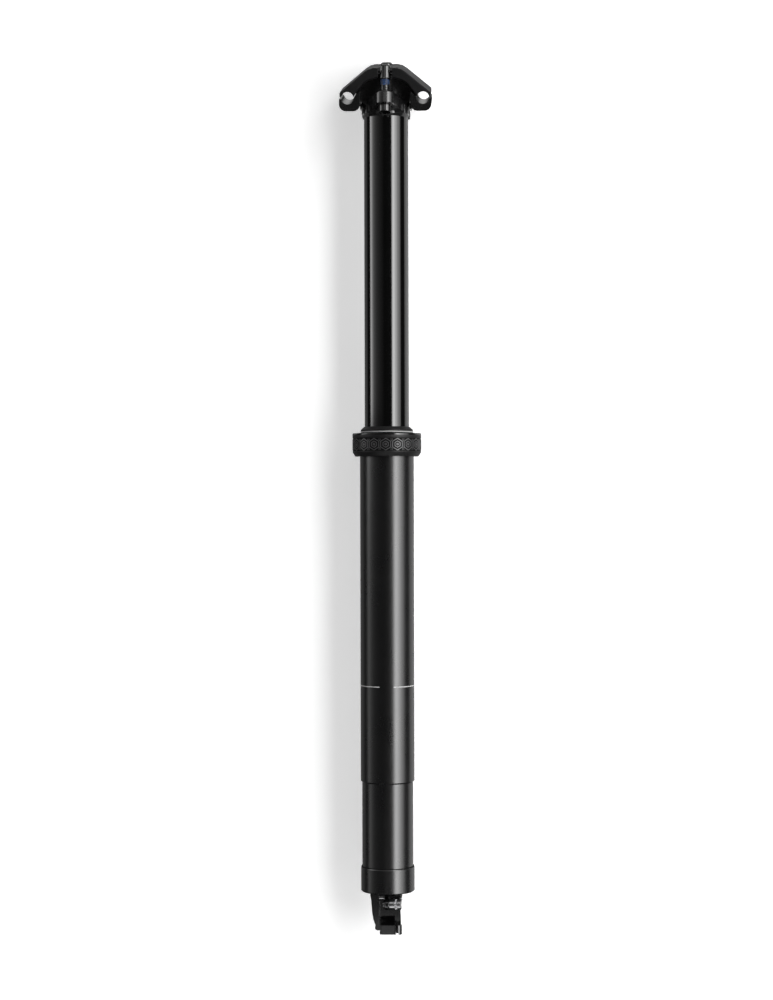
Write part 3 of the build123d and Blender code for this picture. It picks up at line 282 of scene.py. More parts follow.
def make_finish(
    name, colour, worn_colour, roughness, grain_scale=4000.0, grain_depth=0.004, blotch_scale=60.0,
    wear=1.0, wear_width=0.3, metallic=0.0, ior=1.5, coat=0.0, coat_roughness=0.1, rings=None,
    streaks=0.0, tint=0.25, soft_edge=0.15, rim=None,
):
    """A material from the shared groups: base colour, wear at the edges, grain and uneven gloss.

    roughness is a pair, from the glossiest blotch to the dullest. grain_depth, wear_width and soft_edge,
    over which an edge looks rounded, are millimetres. rim is a height above which the finish is polished.
    """
    material = bpy.data.materials.new(name)
    material.use_nodes = True
    tree = material.node_tree
    tree.nodes.clear()
    place = tree.nodes.new("ShaderNodeTexCoord").outputs["Object"]
    grain = use_group(
        tree, grain_group, Coordinates=place, Grain_Scale=grain_scale, Blotch_Scale=blotch_scale
    )
    worn = use_group(
        tree, wear_group, Coordinates=place, Width=wear_width * MM, Amount=wear
    ).outputs["Mask"]
    dark = tuple(channel * (1 - tint) for channel in colour)
    base = mix_colour(tree, grain.outputs["Blotch"], dark, colour)
    base = mix_colour(tree, worn, base, worn_colour)
    gloss = spread(tree, grain.outputs["Blotch"], 0.0, 1.0, *roughness)
    if streaks:
        rubbed = use_group(tree, streak_group, Coordinates=place).outputs["Mask"]
        gloss = math_node(tree, "ADD", gloss, math_node(tree, "MULTIPLY", rubbed, streaks))
    if rim is not None:
        level = add_node(tree, "ShaderNodeSeparateXYZ", Vector=place).outputs["Z"]
        polished = spread(tree, level, rim - RIM_BLEND, rim)
        gloss = math_node(tree, "MULTIPLY", gloss, spread(tree, polished, 0.0, 1.0, 1.0, RIM_GLOSS))
        coat = polished
    height = grain.outputs["Height"]
    if rings:
        turned = use_group(tree, turning_group, Coordinates=place, Ring_Scale=rings)
        height = math_node(tree, "ADD", height, turned.outputs["Height"])
    rounded = add_node(tree, "ShaderNodeBevel", Radius=soft_edge * MM)
    bump = add_node(
        tree, "ShaderNodeBump", Strength=1.0, Distance=grain_depth * MM, Height=height,
        Normal=rounded.outputs["Normal"],
    )
    shader = add_node(
        tree, "ShaderNodeBsdfPrincipled", Base_Color=base, Roughness=gloss,
        Normal=bump.outputs["Normal"], Metallic=metallic, IOR=ior, Coat_Weight=coat,
        Coat_Roughness=coat_roughness,
    )
    end = tree.nodes.new("ShaderNodeOutputMaterial")
    tree.links.new(shader.outputs["BSDF"], end.inputs["Surface"])
    return material


def dress(material, *names):
    """Gives CAD pieces a material."""
    for name in names:
        mesh = nodes[name].data
        mesh.materials.clear()
        mesh.materials.append(material)


# What a user would change

def colour_property(label, text, value):
    """A colour with a default."""
    return bpy.props.FloatVectorProperty(
        name=label, description=text, subtype="COLOR", size=3, min=0.0, max=1.0, default=value
    )


def length_property(label, text, value, lowest=0.0):
    """A length or height in metres with a default."""
    return bpy.props.FloatProperty(name=label, description=text, unit="LENGTH", default=value, min=lowest)


class SEATPOST_PG_tubes(bpy.types.PropertyGroup):
    """Finish of the tubes."""
    satin: colour_property("Satin", "Colour of the fixed tube", (0.0035, 0.0035, 0.0038))
    gloss: colour_property("Gloss", "Colour of the sliding post", (0.002, 0.002, 0.002))
    bare: colour_property("Bare edge", "Metal that shows at a worn edge", (0.11, 0.11, 0.115))
    line: colour_property("Line", "Colour of the insertion line", (0.8, 0.8, 0.8))
    line_height: length_property(
        "Line height", "Height of the insertion line", -134.4 * MM, lowest=-250 * MM
    )
    line_width: length_property("Line width", "Width of the insertion line", 0.55 * MM)
    # The dark line over the cap is painted shade: a black ring where the groove between cap and tube lies
    # in shade.
    groove_shade_width: length_property("Groove shade width", "Height of the dark line over the cap", 0.42 * MM)


class SEATPOST_PG_collar(bpy.types.PropertyGroup):
    """Finish and grip of the collar."""
    matt: colour_property("Matt", "Colour of the collar", (0.006, 0.006, 0.0062))
    # The ridges' colour, much lighter than the collar's, is painted sheen for the light their edges catch.
    ridge: colour_property("Ridge sheen", "Colour of the grip pattern's ridges", (0.07, 0.07, 0.072))
    rubber: colour_property("Rubber", "Colour of the wiper", (0.005, 0.005, 0.005))
    ring: colour_property("Ring", "Colour of the ring round the wiper", (0.8, 0.8, 0.8))
    cells: bpy.props.IntProperty(
        name="Cells", description="Grip hexagons in one row", default=18, min=12, max=30
    )
    lip_height: length_property("Lip height", "Height of the wiper's lip over the ring", 0.12 * MM)


class SEATPOST_PG_clamp(bpy.types.PropertyGroup):
    """Finish of the head and the saddle clamp."""
    forged: colour_property("Forged", "Colour of the head and the clamp", (0.008, 0.008, 0.0084))
    bolt: colour_property("Bolt", "Colour of the bolts", (0.006, 0.006, 0.0062))
    lock: colour_property("Thread lock", "Colour of the thread lock patch", (0.018, 0.055, 0.16))
    thread_pitch: length_property("Thread pitch", "Pitch of the clamp bolts' thread", 0.8 * MM)


class SEATPOST_PG_lever(bpy.types.PropertyGroup):
    """Finish of the remote lever's mechanism."""
    gloss: colour_property("Gloss", "Colour of the bracket", (0.006, 0.006, 0.006))
    steel: colour_property("Steel", "Colour of the bare steel", (0.85, 0.85, 0.86))


class SEATPOST_PG_inside(bpy.types.PropertyGroup):
    """Finish of the pieces inside the post."""
    brass: colour_property("Brass", "Colour of the guide keys", (0.62, 0.42, 0.14))
    plastic: colour_property("Plastic", "Colour of the bushings", (0.10, 0.10, 0.11))
    foam: colour_property("Foam", "Colour of the oiled foam", (0.22, 0.16, 0.05))
    alloy: colour_property("Alloy", "Colour of the cartridge", (0.50, 0.50, 0.52))


class SEATPOST_PG_stage(bpy.types.PropertyGroup):
    """The studio."""
    backdrop: colour_property("Backdrop", "Colour of the backdrop and the floor", (0.95, 0.95, 0.95))
    floor_drop: length_property("Floor drop", "Distance from the post down to the floor", 1.0)
    camera_distance: length_property("Camera distance", "Distance from the post's axis", 1.32)
    camera_height: length_property("Camera height", "Height of the camera", -25.0 * MM, lowest=-1.0)


# The fixed tube and what is fixed to it

def insertion_line(place, width, material):
    """The painted line round the tube, open at the front by twice the gap."""
    gap = math.radians(15.0)
    proud = 0.03 * MM
    bm = bmesh.new()
    radius = TUBE_RADIUS + proud
    start = -math.pi / 2 + gap
    ends = [
        bm.verts.new((radius * math.cos(start), radius * math.sin(start), place + side * width / 2))
        for side in (-1, 1)
    ]
    edge = bm.edges.new(ends)
    bmesh.ops.spin(
        bm, geom=ends + [edge], cent=(0, 0, 0), axis=(0, 0, 1), dvec=(0, 0, 0),
        angle=FULL_TURN - 2 * gap, steps=ROUND_STEPS, use_merge=False, use_duplicate=False,
    )
    bmesh.ops.recalc_face_normals(bm, faces=bm.faces)
    bmesh.ops.solidify(bm, geom=list(bm.faces), thickness=2 * proud)
    bmesh.ops.recalc_face_normals(bm, faces=bm.faces)
    new_piece("insertion_line", bm, material, "lower_post")


def cap_groove_shade(width, material):
    """Painted shade: a black ring over the inner half of the cap's top bevel, standing in for the shaded
    groove where the cap meets the tube above it.
    """
    set_back = 0.2 * MM
    wall = 0.6 * MM
    proud = 0.08 * MM
    outer = box_radius("bottom_cap") - set_back
    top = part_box("bottom_cap")[1].z + proud
    bm = turned_ring(outer - wall, outer, top - width, top)
    new_piece("cap_groove_shade", bm, material, "lower_post", smooth_angle=30.0)


class SEATPOST_OT_tubes(bpy.types.Operator):
    """Finish the fixed tube, its cap and the sliding post, and add the insertion line and the black ring of
    painted shade over the cap's groove
    """
    bl_idname = "seatpost.tubes"
    bl_label = "Tubes"

    def execute(self, context):
        own = context.scene.seatpost_tubes
        satin = make_finish(
            "Satin black anodising", tuple(own.satin), tuple(own.bare), (0.265, 0.3), grain_depth=0.0012,
            wear=0.5, ior=1.85, coat=0.5, coat_roughness=0.24,
        )
        cap = make_finish(
            "Satin black cap", tuple(own.satin), tuple(own.bare), (0.25, 0.3), grain_depth=0.0012,
            wear=0.8, ior=1.85, coat=0.45, coat_roughness=0.25, rings=500.0,
        )
        gloss = make_finish(
            "Polished black anodising", tuple(own.gloss), tuple(own.bare), (0.10, 0.13),
            grain_depth=0.0004, wear=0.0, ior=1.7, coat=1.0, coat_roughness=0.05, rings=1500.0,
            streaks=0.02,
        )
        paint = make_finish(
            "White line paint", tuple(own.line), tuple(own.satin), (0.4, 0.5), grain_depth=0.002,
            wear=0.3,
        )
        dress(satin, "outer_tube")
        dress(cap, "bottom_cap")
        dress(gloss, "stanchion")
        insertion_line(own.line_height, own.line_width, paint)
        # Painted shade: a near-black, dull finish for the ring that darkens the cap's groove.
        shade = make_finish(
            "Painted cap groove shade", (0.001, 0.001, 0.001), (0.002, 0.002, 0.002), (0.6, 0.7), grain_depth=0.002,
            wear=0.0, ior=1.3,
        )
        cap_groove_shade(own.groove_shade_width, shade)
        return {"FINISHED"}


# The collar

def even_ridge(bm, corners, size, line, height, place):
    """A low ridge along the edge of an even shape, such as a hexagon; place lays it on the band."""
    made = bmesh.ops.create_circle(bm, cap_ends=True, segments=corners, radius=size)
    middle = made["verts"][0].link_faces[0]
    edge = bmesh.ops.inset_region(bm, faces=[middle], thickness=line, use_boundary=True)["faces"]
    bmesh.ops.delete(bm, geom=[middle], context="FACES")
    raised = bmesh.ops.solidify(bm, geom=edge, thickness=height)["geom"]
    moved = {corner for face in edge for corner in face.verts}
    moved.update(item for item in raised if isinstance(item, bmesh.types.BMVert))
    bmesh.ops.transform(bm, matrix=place, verts=list(moved))


def grip_cells(count, material):
    """A row of nested hexagons in the collar's band, with triangles between them: a plain grip.

    It is laid out flat, with x round the band, y up it and z out of it, and then wrapped round the collar.
    """
    line = 0.6 * MM
    sink = 0.14 * MM
    height = BAND_DEPTH + sink
    outer = BAND_HEIGHT / 2 - 0.15 * MM
    sizes = (outer, outer - 1.55 * MM, outer - 2.85 * MM)
    triangle = 0.95 * MM
    triangle_line = 0.35 * MM
    band_radius = COLLAR_RADIUS - BAND_DEPTH
    step = FULL_TURN * band_radius / count
    bm = bmesh.new()
    for cell in range(count):
        centre = Matrix.Translation((cell * step, 0, 0))
        for size in sizes:
            even_ridge(bm, 6, size, line, height, centre)
        for side, turn in ((-1, 0), (1, math.pi)):
            gap = Matrix.Translation(((cell + 0.5) * step, side * (outer - triangle), 0))
            turned = gap @ Matrix.Rotation(turn, 4, "Z")
            even_ridge(bm, 3, triangle, triangle_line, height, turned)
    base = min(corner.co.z for corner in bm.verts)
    for corner in bm.verts:
        angle = corner.co.x / band_radius - math.pi / 2
        radius = band_radius - sink + corner.co.z - base
        corner.co = (radius * math.cos(angle), radius * math.sin(angle), COLLAR_MIDDLE + corner.co.y)
    bmesh.ops.recalc_face_normals(bm, faces=bm.faces)
    new_piece("collar_grip", bm, material, "collar_set", smooth_angle=20.0)


def grip_floor_shade(material):
    """Painted shade: a near-black, dull skin on the floor of the grip band, darker than the collar,
    standing in for the shade between the ridges so that they stand out.
    """
    reach = 3.7 * MM
    sunk = 0.05 * MM
    proud = 0.04 * MM
    band_radius = COLLAR_RADIUS - BAND_DEPTH
    bm = turned_ring(band_radius - sunk, band_radius + proud, COLLAR_MIDDLE - reach, COLLAR_MIDDLE + reach)
    new_piece("grip_floor_shade", bm, material, "collar_set", smooth_angle=30.0)


def wiper_lip(height, material):
    """The wiper's thin lower lip, which hangs over the top of the grey ring."""
    clearance = 0.02 * MM
    thickness = 0.2 * MM
    inner = box_radius("wiper_ring") + clearance
    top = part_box("wiper_ring")[1].z
    bm = turned_ring(inner, inner + thickness, top - height, top)
    new_piece("wiper_lip", bm, material, "seal_set", smooth_angle=30.0)


class SEATPOST_OT_collar(bpy.types.Operator):
    """Finish the collar and its seals, and add the grip pattern, painted shade on the grip band's floor and
    the wiper's lip
    """
    bl_idname = "seatpost.collar"
    bl_label = "Collar"

    def execute(self, context):
        own = context.scene.seatpost_collar
        matt = make_finish(
            "Matt black collar", tuple(own.matt), (0.06, 0.06, 0.06), (0.42, 0.5), grain_scale=5000.0,
            grain_depth=0.006, wear=1.2, soft_edge=0.9, rim=COLLAR_HIGH - 1.2 * MM,
        )
        rubber = make_finish(
            "Wiper rubber", tuple(own.rubber), (0.03, 0.03, 0.03), (0.5, 0.62), grain_scale=3000.0,
            grain_depth=0.01, wear=0.2,
        )
        ring = make_finish(
            "Grey ring", tuple(own.ring), (0.5, 0.5, 0.5), (0.35, 0.45), grain_depth=0.002,
            rings=1200.0,
        )
        # Painted sheen: the ridges are far lighter than the collar, and their strong edge wear lightens
        # their edges, partly wear and partly painted highlight.
        ridge = make_finish(
            "Grip ridges painted sheen", tuple(own.ridge), (0.12, 0.12, 0.12), (0.3, 0.4), grain_depth=0.003,
            wear=1.5, wear_width=0.15, ior=1.6, coat=0.6, coat_roughness=0.25, soft_edge=0.06,
        )
        dress(matt, "collar")
        dress(rubber, "wiper_seal")
        dress(ring, "wiper_ring")
        # Painted shade for the grip band's floor, much darker than the collar's own colour.
        floor = make_finish(
            "Grip floor painted shade", (0.0015, 0.0015, 0.0015), (0.004, 0.004, 0.004), (0.6, 0.7),
            grain_depth=0.006, wear=0.0, ior=1.25,
        )
        grip_floor_shade(floor)
        grip_cells(own.cells, ridge)
        wiper_lip(own.lip_height, rubber)
        return {"FINISHED"}


# The head and the saddle clamp

def along_bolt(bolt):
    """The place of a bolt's own frame, which starts at its washer and runs up to its nut."""
    (foot_y, foot_z), (nut_y, nut_z) = bolt
    axis = Vector((0, nut_y - foot_y, nut_z - foot_z))
    lean = Vector((0, 0, 1)).rotation_difference(axis).to_matrix().to_4x4()
    return Matrix.Translation((0, foot_y, foot_z)) @ lean


def thread(name, bolt, start, end, pitch, material, body):
    """A bolt's thread: a ridge wound round the shank, between two heights along the bolt."""
    steps = 24
    turns = (end - start) / pitch
    sunk = 0.08 * MM
    proud = 0.18 * MM
    half = 0.48 * pitch
    bm = bmesh.new()
    corners = [
        bm.verts.new((BOLT_RADIUS + rise, 0, start + height))
        for rise, height in ((-sunk, -half), (proud, 0), (-sunk, half))
    ]
    profile = bm.faces.new(corners)
    bmesh.ops.spin(
        bm, geom=[profile] + list(profile.edges) + corners, cent=(0, 0, 0), axis=(0, 0, 1),
        dvec=(0, 0, pitch / steps), angle=FULL_TURN * turns, steps=round(steps * turns), use_merge=False,
        use_duplicate=False,
    )
    bmesh.ops.recalc_face_normals(bm, faces=bm.faces)
    bmesh.ops.transform(bm, matrix=along_bolt(bolt), verts=bm.verts)
    new_piece(name, bm, material, body, smooth_angle=50.0)


def lock_patch(bolt, start, end, material):
    """The dried thread lock on a bolt: a thin skin over the thread's front, ragged at its lower edge."""
    rows = 10
    columns = 24
    reach = math.radians(78)
    thickness = 0.26 * MM
    lift = 0.2 * MM
    side_rise = 0.3
    wave_rise = 0.1
    waves = 9
    radius = BOLT_RADIUS + lift
    bm = bmesh.new()
    turn = -math.pi / 2 - reach
    place = (radius * math.cos(turn), radius * math.sin(turn))
    line = [bm.verts.new((*place, start + (end - start) * row / rows)) for row in range(rows + 1)]
    edges = [bm.edges.new(pair) for pair in zip(line, line[1:])]
    bmesh.ops.spin(
        bm, geom=line + edges, cent=(0, 0, 0), axis=(0, 0, 1), dvec=(0, 0, 0), angle=2 * reach,
        steps=columns, use_merge=False, use_duplicate=False,
    )
    for corner in bm.verts:
        across = math.atan2(corner.co.x, -corner.co.y) / reach
        ragged = side_rise * across ** 2 + wave_rise * math.sin(waves * across)
        corner.co.z += (end - corner.co.z) * ragged
    bmesh.ops.recalc_face_normals(bm, faces=bm.faces)
    bmesh.ops.solidify(bm, geom=list(bm.faces), thickness=thickness)
    bmesh.ops.recalc_face_normals(bm, faces=bm.faces)
    bmesh.ops.transform(bm, matrix=along_bolt(bolt), verts=bm.verts)
    new_piece("thread_lock", bm, material, "front_bolt_set", smooth_angle=60.0)


# Where the threads and the thread lock start and end along their bolts
FRONT_THREAD = (7.5 * MM, 20.0 * MM)
REAR_THREAD = (11.0 * MM, 23.0 * MM)
LOCK_PATCH = (13.2 * MM, 16.7 * MM)


class SEATPOST_OT_clamp(bpy.types.Operator):
    """Finish the head, the saddle clamp and its bolts, and add the threads and the thread lock"""
    bl_idname = "seatpost.clamp"
    bl_label = "Saddle clamp"

    def execute(self, context):
        own = context.scene.seatpost_clamp
        forged = make_finish(
            "Forged black", tuple(own.forged), (0.09, 0.09, 0.095), (0.22, 0.3), grain_scale=2600.0,
            grain_depth=0.004, wear=1.0, ior=1.7, coat=0.8, coat_roughness=0.12, soft_edge=0.2,
        )
        bolt = make_finish(
            "Black oxide bolt", tuple(own.bolt), (0.16, 0.16, 0.165), (0.16, 0.26), grain_depth=0.002,
            wear=1.4, metallic=0.2, ior=1.9, coat=0.8, coat_roughness=0.08, soft_edge=0.25,
        )
        dull = make_finish(
            "Dull forged black", tuple(own.forged), (0.09, 0.09, 0.095), (0.4, 0.5), grain_scale=2600.0,
            grain_depth=0.004, wear=1.0, ior=1.4, soft_edge=0.2,
        )
        dress(forged, "head", "lower_cradle")
        dress(dull, "upper_clamp")
        lock = make_finish(
            "Blue thread lock", tuple(own.lock), (0.03, 0.12, 0.35), (0.35, 0.6), grain_scale=2200.0,
            blotch_scale=900.0, grain_depth=0.12, wear=0.0, tint=0.75,
        )
        dress(bolt, "front_bolt", "rear_bolt", "front_nut", "rear_nut", "front_washer", "rear_washer")
        pitch = own.thread_pitch
        thread("front_thread", FRONT_BOLT, *FRONT_THREAD, pitch, bolt, "front_bolt_set")
        thread("rear_thread", REAR_BOLT, *REAR_THREAD, pitch, bolt, "rear_bolt_set")
        lock_patch(FRONT_BOLT, *LOCK_PATCH, lock)
        return {"FINISHED"}


# The remote lever's mechanism

class SEATPOST_OT_lever(bpy.types.Operator):
    """Finish the bracket, the lever and the cable anchor"""
    bl_idname = "seatpost.lever"
    bl_label = "Lever mechanism"

    def execute(self, context):
        own = context.scene.seatpost_lever
        gloss = make_finish(
            "Gloss black bracket", tuple(own.gloss), (0.12, 0.12, 0.12), (0.14, 0.22), grain_depth=0.002,
            wear=1.2, ior=1.75, coat=1.0, coat_roughness=0.06, soft_edge=0.4,
        )
        steel = make_finish(
            "Turned steel", tuple(own.steel), (0.8, 0.8, 0.8), (0.18, 0.28), grain_depth=0.002, wear=0.6,
            metallic=1.0, ior=2.0,
        )
        oxide = make_finish(
            "Black clip", tuple(own.gloss), (0.12, 0.12, 0.12), (0.2, 0.3), grain_depth=0.002,
            wear=1.0, ior=1.7,
        )
        dress(gloss, "actuator_bracket", "lever")
        dress(steel, "lever_pin", "cable_anchor", "pivot_clip", "bracket_screws", "foot_nut")
        dress(oxide, "anchor_clip")
        return {"FINISHED"}


# The pieces inside

class SEATPOST_OT_inside(bpy.types.Operator):
    """Finish the guides, the cartridge and the valve"""
    bl_idname = "seatpost.inside"
    bl_label = "Inside"

    def execute(self, context):
        own = context.scene.seatpost_inside
        alloy = make_finish(
            "Turned alloy", tuple(own.alloy), (0.8, 0.8, 0.8), (0.22, 0.32), grain_depth=0.002, wear=0.5,
            metallic=1.0, rings=900.0,
        )
        steel = make_finish(
            "Ground steel", (0.55, 0.55, 0.56), (0.8, 0.8, 0.8), (0.12, 0.2), grain_depth=0.001, wear=0.4,
            metallic=1.0, rings=1600.0,
        )
        brass = make_finish(
            "Brass", tuple(own.brass), (0.8, 0.62, 0.3), (0.2, 0.3), grain_depth=0.002, wear=0.5,
            metallic=1.0,
        )
        plastic = make_finish(
            "Guide plastic", tuple(own.plastic), (0.16, 0.16, 0.17), (0.38, 0.5), grain_depth=0.004,
            wear=0.3,
        )
        rubber = make_finish(
            "Seal rubber", (0.012, 0.012, 0.012), (0.03, 0.03, 0.03), (0.3, 0.45), grain_depth=0.006,
            wear=0.1,
        )
        foam = make_finish(
            "Oiled foam", tuple(own.foam), (0.3, 0.22, 0.08), (0.55, 0.8), grain_scale=1800.0,
            grain_depth=0.12, wear=0.0,
        )
        dress(alloy, "cartridge_cylinder", "cartridge_gland", "top_plug", "cartridge_nut",
              "floating_piston", "main_piston")
        dress(steel, "piston_rod", "release_pin", "valve_spring", "piston_nut", "fill_screw",
              "gland_clip", "bushing_clip", "foot_washer")
        dress(brass, "guide_keys")
        dress(plastic, "upper_bushing", "guide_shoe")
        dress(rubber, "rod_seal", "plug_ring", "floating_ring", "piston_seal", "topout_bumper")
        dress(foam, "foam_ring")
        return {"FINISHED"}


# The studio

# How a light's brightness changes over it, as places from 0 to 1 and shares of its radiance. The two ends
# come first.
EVEN = ((0.0, 1.0), (1.0, 1.0))
KEY_ACROSS = ((0.0, 0.5), (1.0, 0.12), (0.2, 1.0), (0.45, 0.6), (0.7, 0.28))
LEFT_ACROSS = (
    (0.0, 0.7), (1.0, 0.006), (0.1, 1.0), (0.225, 0.55), (0.3, 0.29), (0.38, 0.17), (0.51, 0.08),
    (0.63, 0.047), (0.76, 0.026), (0.9, 0.013),
)
LEFT_UP = ((0.0, 0.25), (1.0, 1.0), (0.368, 0.25), (0.386, 1.0))
WALL_GAP = 1.6 * MM
WALL_SIZE = 1.6
WALL_GLOW = 0.49
FLOOR_SIZE = 2.4
FLOOR_GLOW = 0.3
CAMERA_TURN = math.radians(2.0)
CAMERA_ROLL = math.radians(-0.14)
CAMERA_LENS = 80.8
CAMERA_SENSOR = 36.0
CAMERA_SHIFT = (-0.0005, -0.001)


def plane(name, size, matrix, material):
    """A flat square of the stage."""
    bm = bmesh.new()
    bmesh.ops.create_grid(bm, x_segments=1, y_segments=1, size=size / 2)
    bmesh.ops.transform(bm, matrix=matrix, verts=bm.verts)
    mesh = bpy.data.meshes.new(name)
    bm.to_mesh(mesh)
    bm.free()
    sheet = bpy.data.objects.new(name, mesh)
    bpy.context.scene.collection.objects.link(sheet)
    mesh.materials.append(material)
    return sheet


def stage_material(name, colour, glow, see_through_back):
    """A pale matt paint that glows a little for the camera and for gloss, so that it renders white."""
    material = bpy.data.materials.new(name)
    material.use_nodes = True
    tree = material.node_tree
    tree.nodes.clear()
    paint = add_node(tree, "ShaderNodeBsdfDiffuse", Color=(*colour, 1.0))
    path = tree.nodes.new("ShaderNodeLightPath")
    seen = math_node(tree, "MAXIMUM", path.outputs["Is Camera Ray"], path.outputs["Is Glossy Ray"])
    seen = math_node(tree, "MAXIMUM", seen, path.outputs["Is Transmission Ray"])
    strength = math_node(tree, "MULTIPLY", seen, glow)
    light = add_node(tree, "ShaderNodeEmission", Strength=strength)
    both = tree.nodes.new("ShaderNodeAddShader")
    tree.links.new(paint.outputs["BSDF"], both.inputs[0])
    tree.links.new(light.outputs["Emission"], both.inputs[1])
    surface = both.outputs["Shader"]
    if see_through_back:
        clear = tree.nodes.new("ShaderNodeBsdfTransparent")
        side = tree.nodes.new("ShaderNodeNewGeometry")
        swap = tree.nodes.new("ShaderNodeMixShader")
        tree.links.new(side.outputs["Backfacing"], swap.inputs["Fac"])
        tree.links.new(surface, swap.inputs[1])
        tree.links.new(clear.outputs["BSDF"], swap.inputs[2])
        surface = swap.outputs["Shader"]
    end = tree.nodes.new("ShaderNodeOutputMaterial")
    tree.links.new(surface, end.inputs["Surface"])
    return material


def falloff_ramp(tree, place, shares):
    """A light's brightness in one direction over it, from pairs of a place and a share."""
    ramp = tree.nodes.new("ShaderNodeValToRGB")
    ramp.color_ramp.interpolation = "EASE"
    for index, (stop_place, share) in enumerate(shares):
        stop = ramp.color_ramp.elements[index] if index < 2 else ramp.color_ramp.elements.new(stop_place)
        stop.position = stop_place
        stop.color = (share, share, share, 1.0)
    tree.links.new(place, ramp.inputs["Fac"])
    return ramp.outputs["Color"]


def softbox(name, azimuth, distance, width, height, radiance, middle, across=EVEN, up=EVEN):
    """An upright soft light that faces the post, brighter in some places than in others.

    azimuth is degrees from the camera's side towards +X, and middle is the height of the light's middle.
    """
    light = bpy.data.lights.new(name, "AREA")
    light.shape = "RECTANGLE"
    light.size = width
    light.size_y = height
    light.energy = radiance * math.pi * width * height
    light.use_nodes = True
    tree = light.node_tree
    tree.nodes.clear()
    spot = tree.nodes.new("ShaderNodeNewGeometry").outputs["Parametric"]
    parts = add_node(tree, "ShaderNodeSeparateXYZ", Vector=spot)
    share = math_node(
        tree, "MULTIPLY", falloff_ramp(tree, parts.outputs["X"], across),
        falloff_ramp(tree, parts.outputs["Y"], up),
    )
    glow = add_node(tree, "ShaderNodeEmission", Strength=share)
    end = tree.nodes.new("ShaderNodeOutputLight")
    tree.links.new(glow.outputs["Emission"], end.inputs["Surface"])
    lamp = bpy.data.objects.new(name, light)
    bpy.context.scene.collection.objects.link(lamp)
    angle = math.radians(azimuth)
    place = Vector((math.sin(angle) * distance, -math.cos(angle) * distance, middle))
    lamp.location = place
    lamp.rotation_euler = (Vector((0, 0, middle)) - place).to_track_quat("-Z", "Y").to_euler()
    lamp.visible_camera = False


def make_world():
    """White for the camera; for light and gloss, dark with a pale sky that is brightest behind the post.

    The dark sides and front give the black pieces their dark bands.
    """
    world = bpy.data.worlds.new("Studio")
    bpy.context.scene.world = world
    world.use_nodes = True
    tree = world.node_tree
    tree.nodes.clear()
    direction = tree.nodes.new("ShaderNodeTexCoord").outputs["Generated"]
    parts = add_node(tree, "ShaderNodeSeparateXYZ", Vector=direction)
    up = parts.outputs["Z"]
    sky = math_node(
        tree, "ADD", spread(tree, up, 0.35, 0.6, 0.02, 0.15), spread(tree, up, 0.65, 0.9, 0.0, 0.1)
    )
    behind = math_node(
        tree, "MULTIPLY", spread(tree, up, 0.26, 0.36), spread(tree, parts.outputs["Y"], 0.6, 0.8)
    )
    above = math_node(tree, "ADD", sky, math_node(tree, "MULTIPLY", behind, 0.6))
    path = tree.nodes.new("ShaderNodeLightPath")
    seen = math_node(
        tree, "MAXIMUM", path.outputs["Is Camera Ray"], path.outputs["Is Transmission Ray"]
    )
    studio = add_node(tree, "ShaderNodeBackground", Strength=above)
    white = add_node(tree, "ShaderNodeBackground", Color=(1, 1, 1, 1), Strength=1.0)
    swap = tree.nodes.new("ShaderNodeMixShader")
    tree.links.new(seen, swap.inputs["Fac"])
    tree.links.new(studio.outputs["Background"], swap.inputs[1])
    tree.links.new(white.outputs["Background"], swap.inputs[2])
    end = tree.nodes.new("ShaderNodeOutputWorld")
    tree.links.new(swap.outputs["Shader"], end.inputs["Surface"])


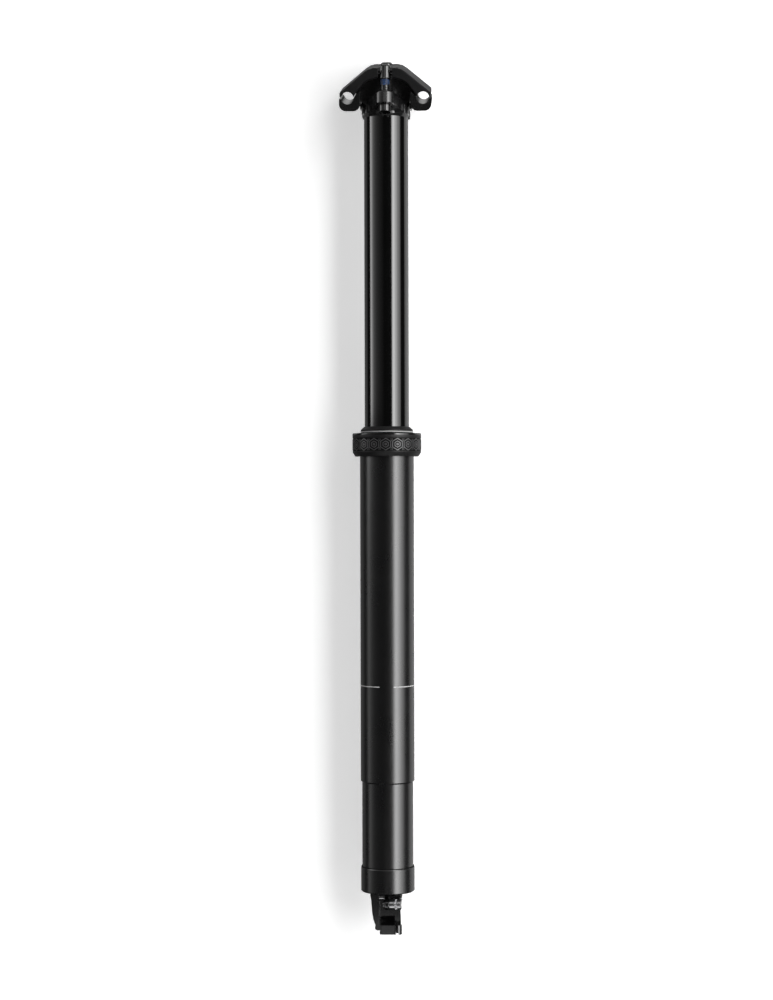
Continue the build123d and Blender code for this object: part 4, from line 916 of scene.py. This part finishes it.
class SEATPOST_OT_stage(bpy.types.Operator):
    """Build the floor, the backdrop, the lights and the camera"""
    bl_idname = "seatpost.stage"
    bl_label = "Studio"

    def execute(self, context):
        own = context.scene.seatpost_stage
        low, high = cad_box
        make_world()
        softbox("key_light", azimuth=54.5, distance=1.1, width=1.05, height=2.2, radiance=5.2,
                middle=0.33, across=KEY_ACROSS)
        softbox("left_light", azimuth=-52.5, distance=1.0, width=1.62, height=2.2, radiance=2.5,
                middle=0.33, across=LEFT_ACROSS, up=LEFT_UP)
        softbox("right_edge_light", azimuth=135, distance=1.0, width=0.9, height=1.5, radiance=0.5,
                middle=-0.02)
        softbox("left_edge_light", azimuth=-140, distance=1.0, width=0.9, height=1.5, radiance=0.12,
                middle=-0.02)
        softbox("back_light", azimuth=178, distance=1.1, width=0.4, height=0.8, radiance=1.6,
                middle=-0.46)
        softbox("front_low_light", azimuth=0, distance=0.6, width=1.2, height=0.6, radiance=1.0,
                middle=-1.02)
        softbox("bracket_light", azimuth=-2, distance=0.6, width=0.16, height=0.05, radiance=0.5,
                middle=-0.408)
        softbox("front_high_light", azimuth=10, distance=1.2, width=1.2, height=0.6, radiance=0.4,
                middle=0.94)
        paint = stage_material("Backdrop paint", tuple(own.backdrop), WALL_GLOW, True)
        upright = Matrix.Rotation(math.radians(90), 4, "X")
        wall = plane(
            "backdrop", WALL_SIZE, Matrix.Translation((0, high.y + WALL_GAP, 0)) @ upright, paint
        )
        wall.visible_glossy = False
        wall.visible_diffuse = False
        wall.visible_transmission = False
        wall.visible_shadow = False
        ground = stage_material("Floor paint", tuple(own.backdrop), FLOOR_GLOW, False)
        floor = plane("floor", FLOOR_SIZE, Matrix.Translation((0, 0, low.z - own.floor_drop)), ground)
        floor.visible_glossy = False
        floor.visible_camera = False
        camera = bpy.data.cameras.new("camera")
        camera.lens = CAMERA_LENS
        camera.sensor_width = CAMERA_SENSOR
        camera.shift_x, camera.shift_y = CAMERA_SHIFT
        eye = bpy.data.objects.new("camera", camera)
        bpy.context.scene.collection.objects.link(eye)
        eye.location = (
            math.sin(CAMERA_TURN) * own.camera_distance, -math.cos(CAMERA_TURN) * own.camera_distance,
            own.camera_height,
        )
        eye.rotation_euler = (math.radians(90), 0, CAMERA_TURN)
        eye.rotation_euler.rotate_axis("Z", CAMERA_ROLL)
        bpy.context.scene.camera = eye
        bpy.context.scene.view_settings.view_transform = "Standard"
        return {"FINISHED"}


class SEATPOST_PT_panel(bpy.types.Panel):
    """The seatpost's pieces and settings"""
    bl_idname = "SEATPOST_PT_panel"
    bl_label = "Seatpost"
    bl_space_type = "VIEW_3D"
    bl_region_type = "UI"
    bl_category = "Seatpost"

    def draw(self, context):
        for operator in OPERATORS:
            self.layout.operator(operator.bl_idname)
        for name, group in GROUPS.items():
            own = getattr(context.scene, name)
            box = self.layout.box()
            for key in group.__annotations__:
                box.prop(own, key)


GROUPS = {
    "seatpost_tubes": SEATPOST_PG_tubes,
    "seatpost_collar": SEATPOST_PG_collar,
    "seatpost_clamp": SEATPOST_PG_clamp,
    "seatpost_lever": SEATPOST_PG_lever,
    "seatpost_inside": SEATPOST_PG_inside,
    "seatpost_stage": SEATPOST_PG_stage,
}
OPERATORS = (
    SEATPOST_OT_stage, SEATPOST_OT_tubes, SEATPOST_OT_collar, SEATPOST_OT_clamp, SEATPOST_OT_lever,
    SEATPOST_OT_inside,
)


def register():
    for name, group in GROUPS.items():
        bpy.utils.register_class(group)
        setattr(bpy.types.Scene, name, bpy.props.PointerProperty(type=group))
    for operator in OPERATORS:
        bpy.utils.register_class(operator)
    bpy.utils.register_class(SEATPOST_PT_panel)


def unregister():
    bpy.utils.unregister_class(SEATPOST_PT_panel)
    for operator in reversed(OPERATORS):
        bpy.utils.unregister_class(operator)
    for name, group in reversed(GROUPS.items()):
        delattr(bpy.types.Scene, name)
        bpy.utils.unregister_class(group)


def main():
    """Builds everything in order."""
    register()
    bpy.ops.seatpost.stage()
    bpy.ops.seatpost.tubes()
    bpy.ops.seatpost.collar()
    bpy.ops.seatpost.clamp()
    bpy.ops.seatpost.lever()
    bpy.ops.seatpost.inside()


if __name__ == "__main__":
    main()
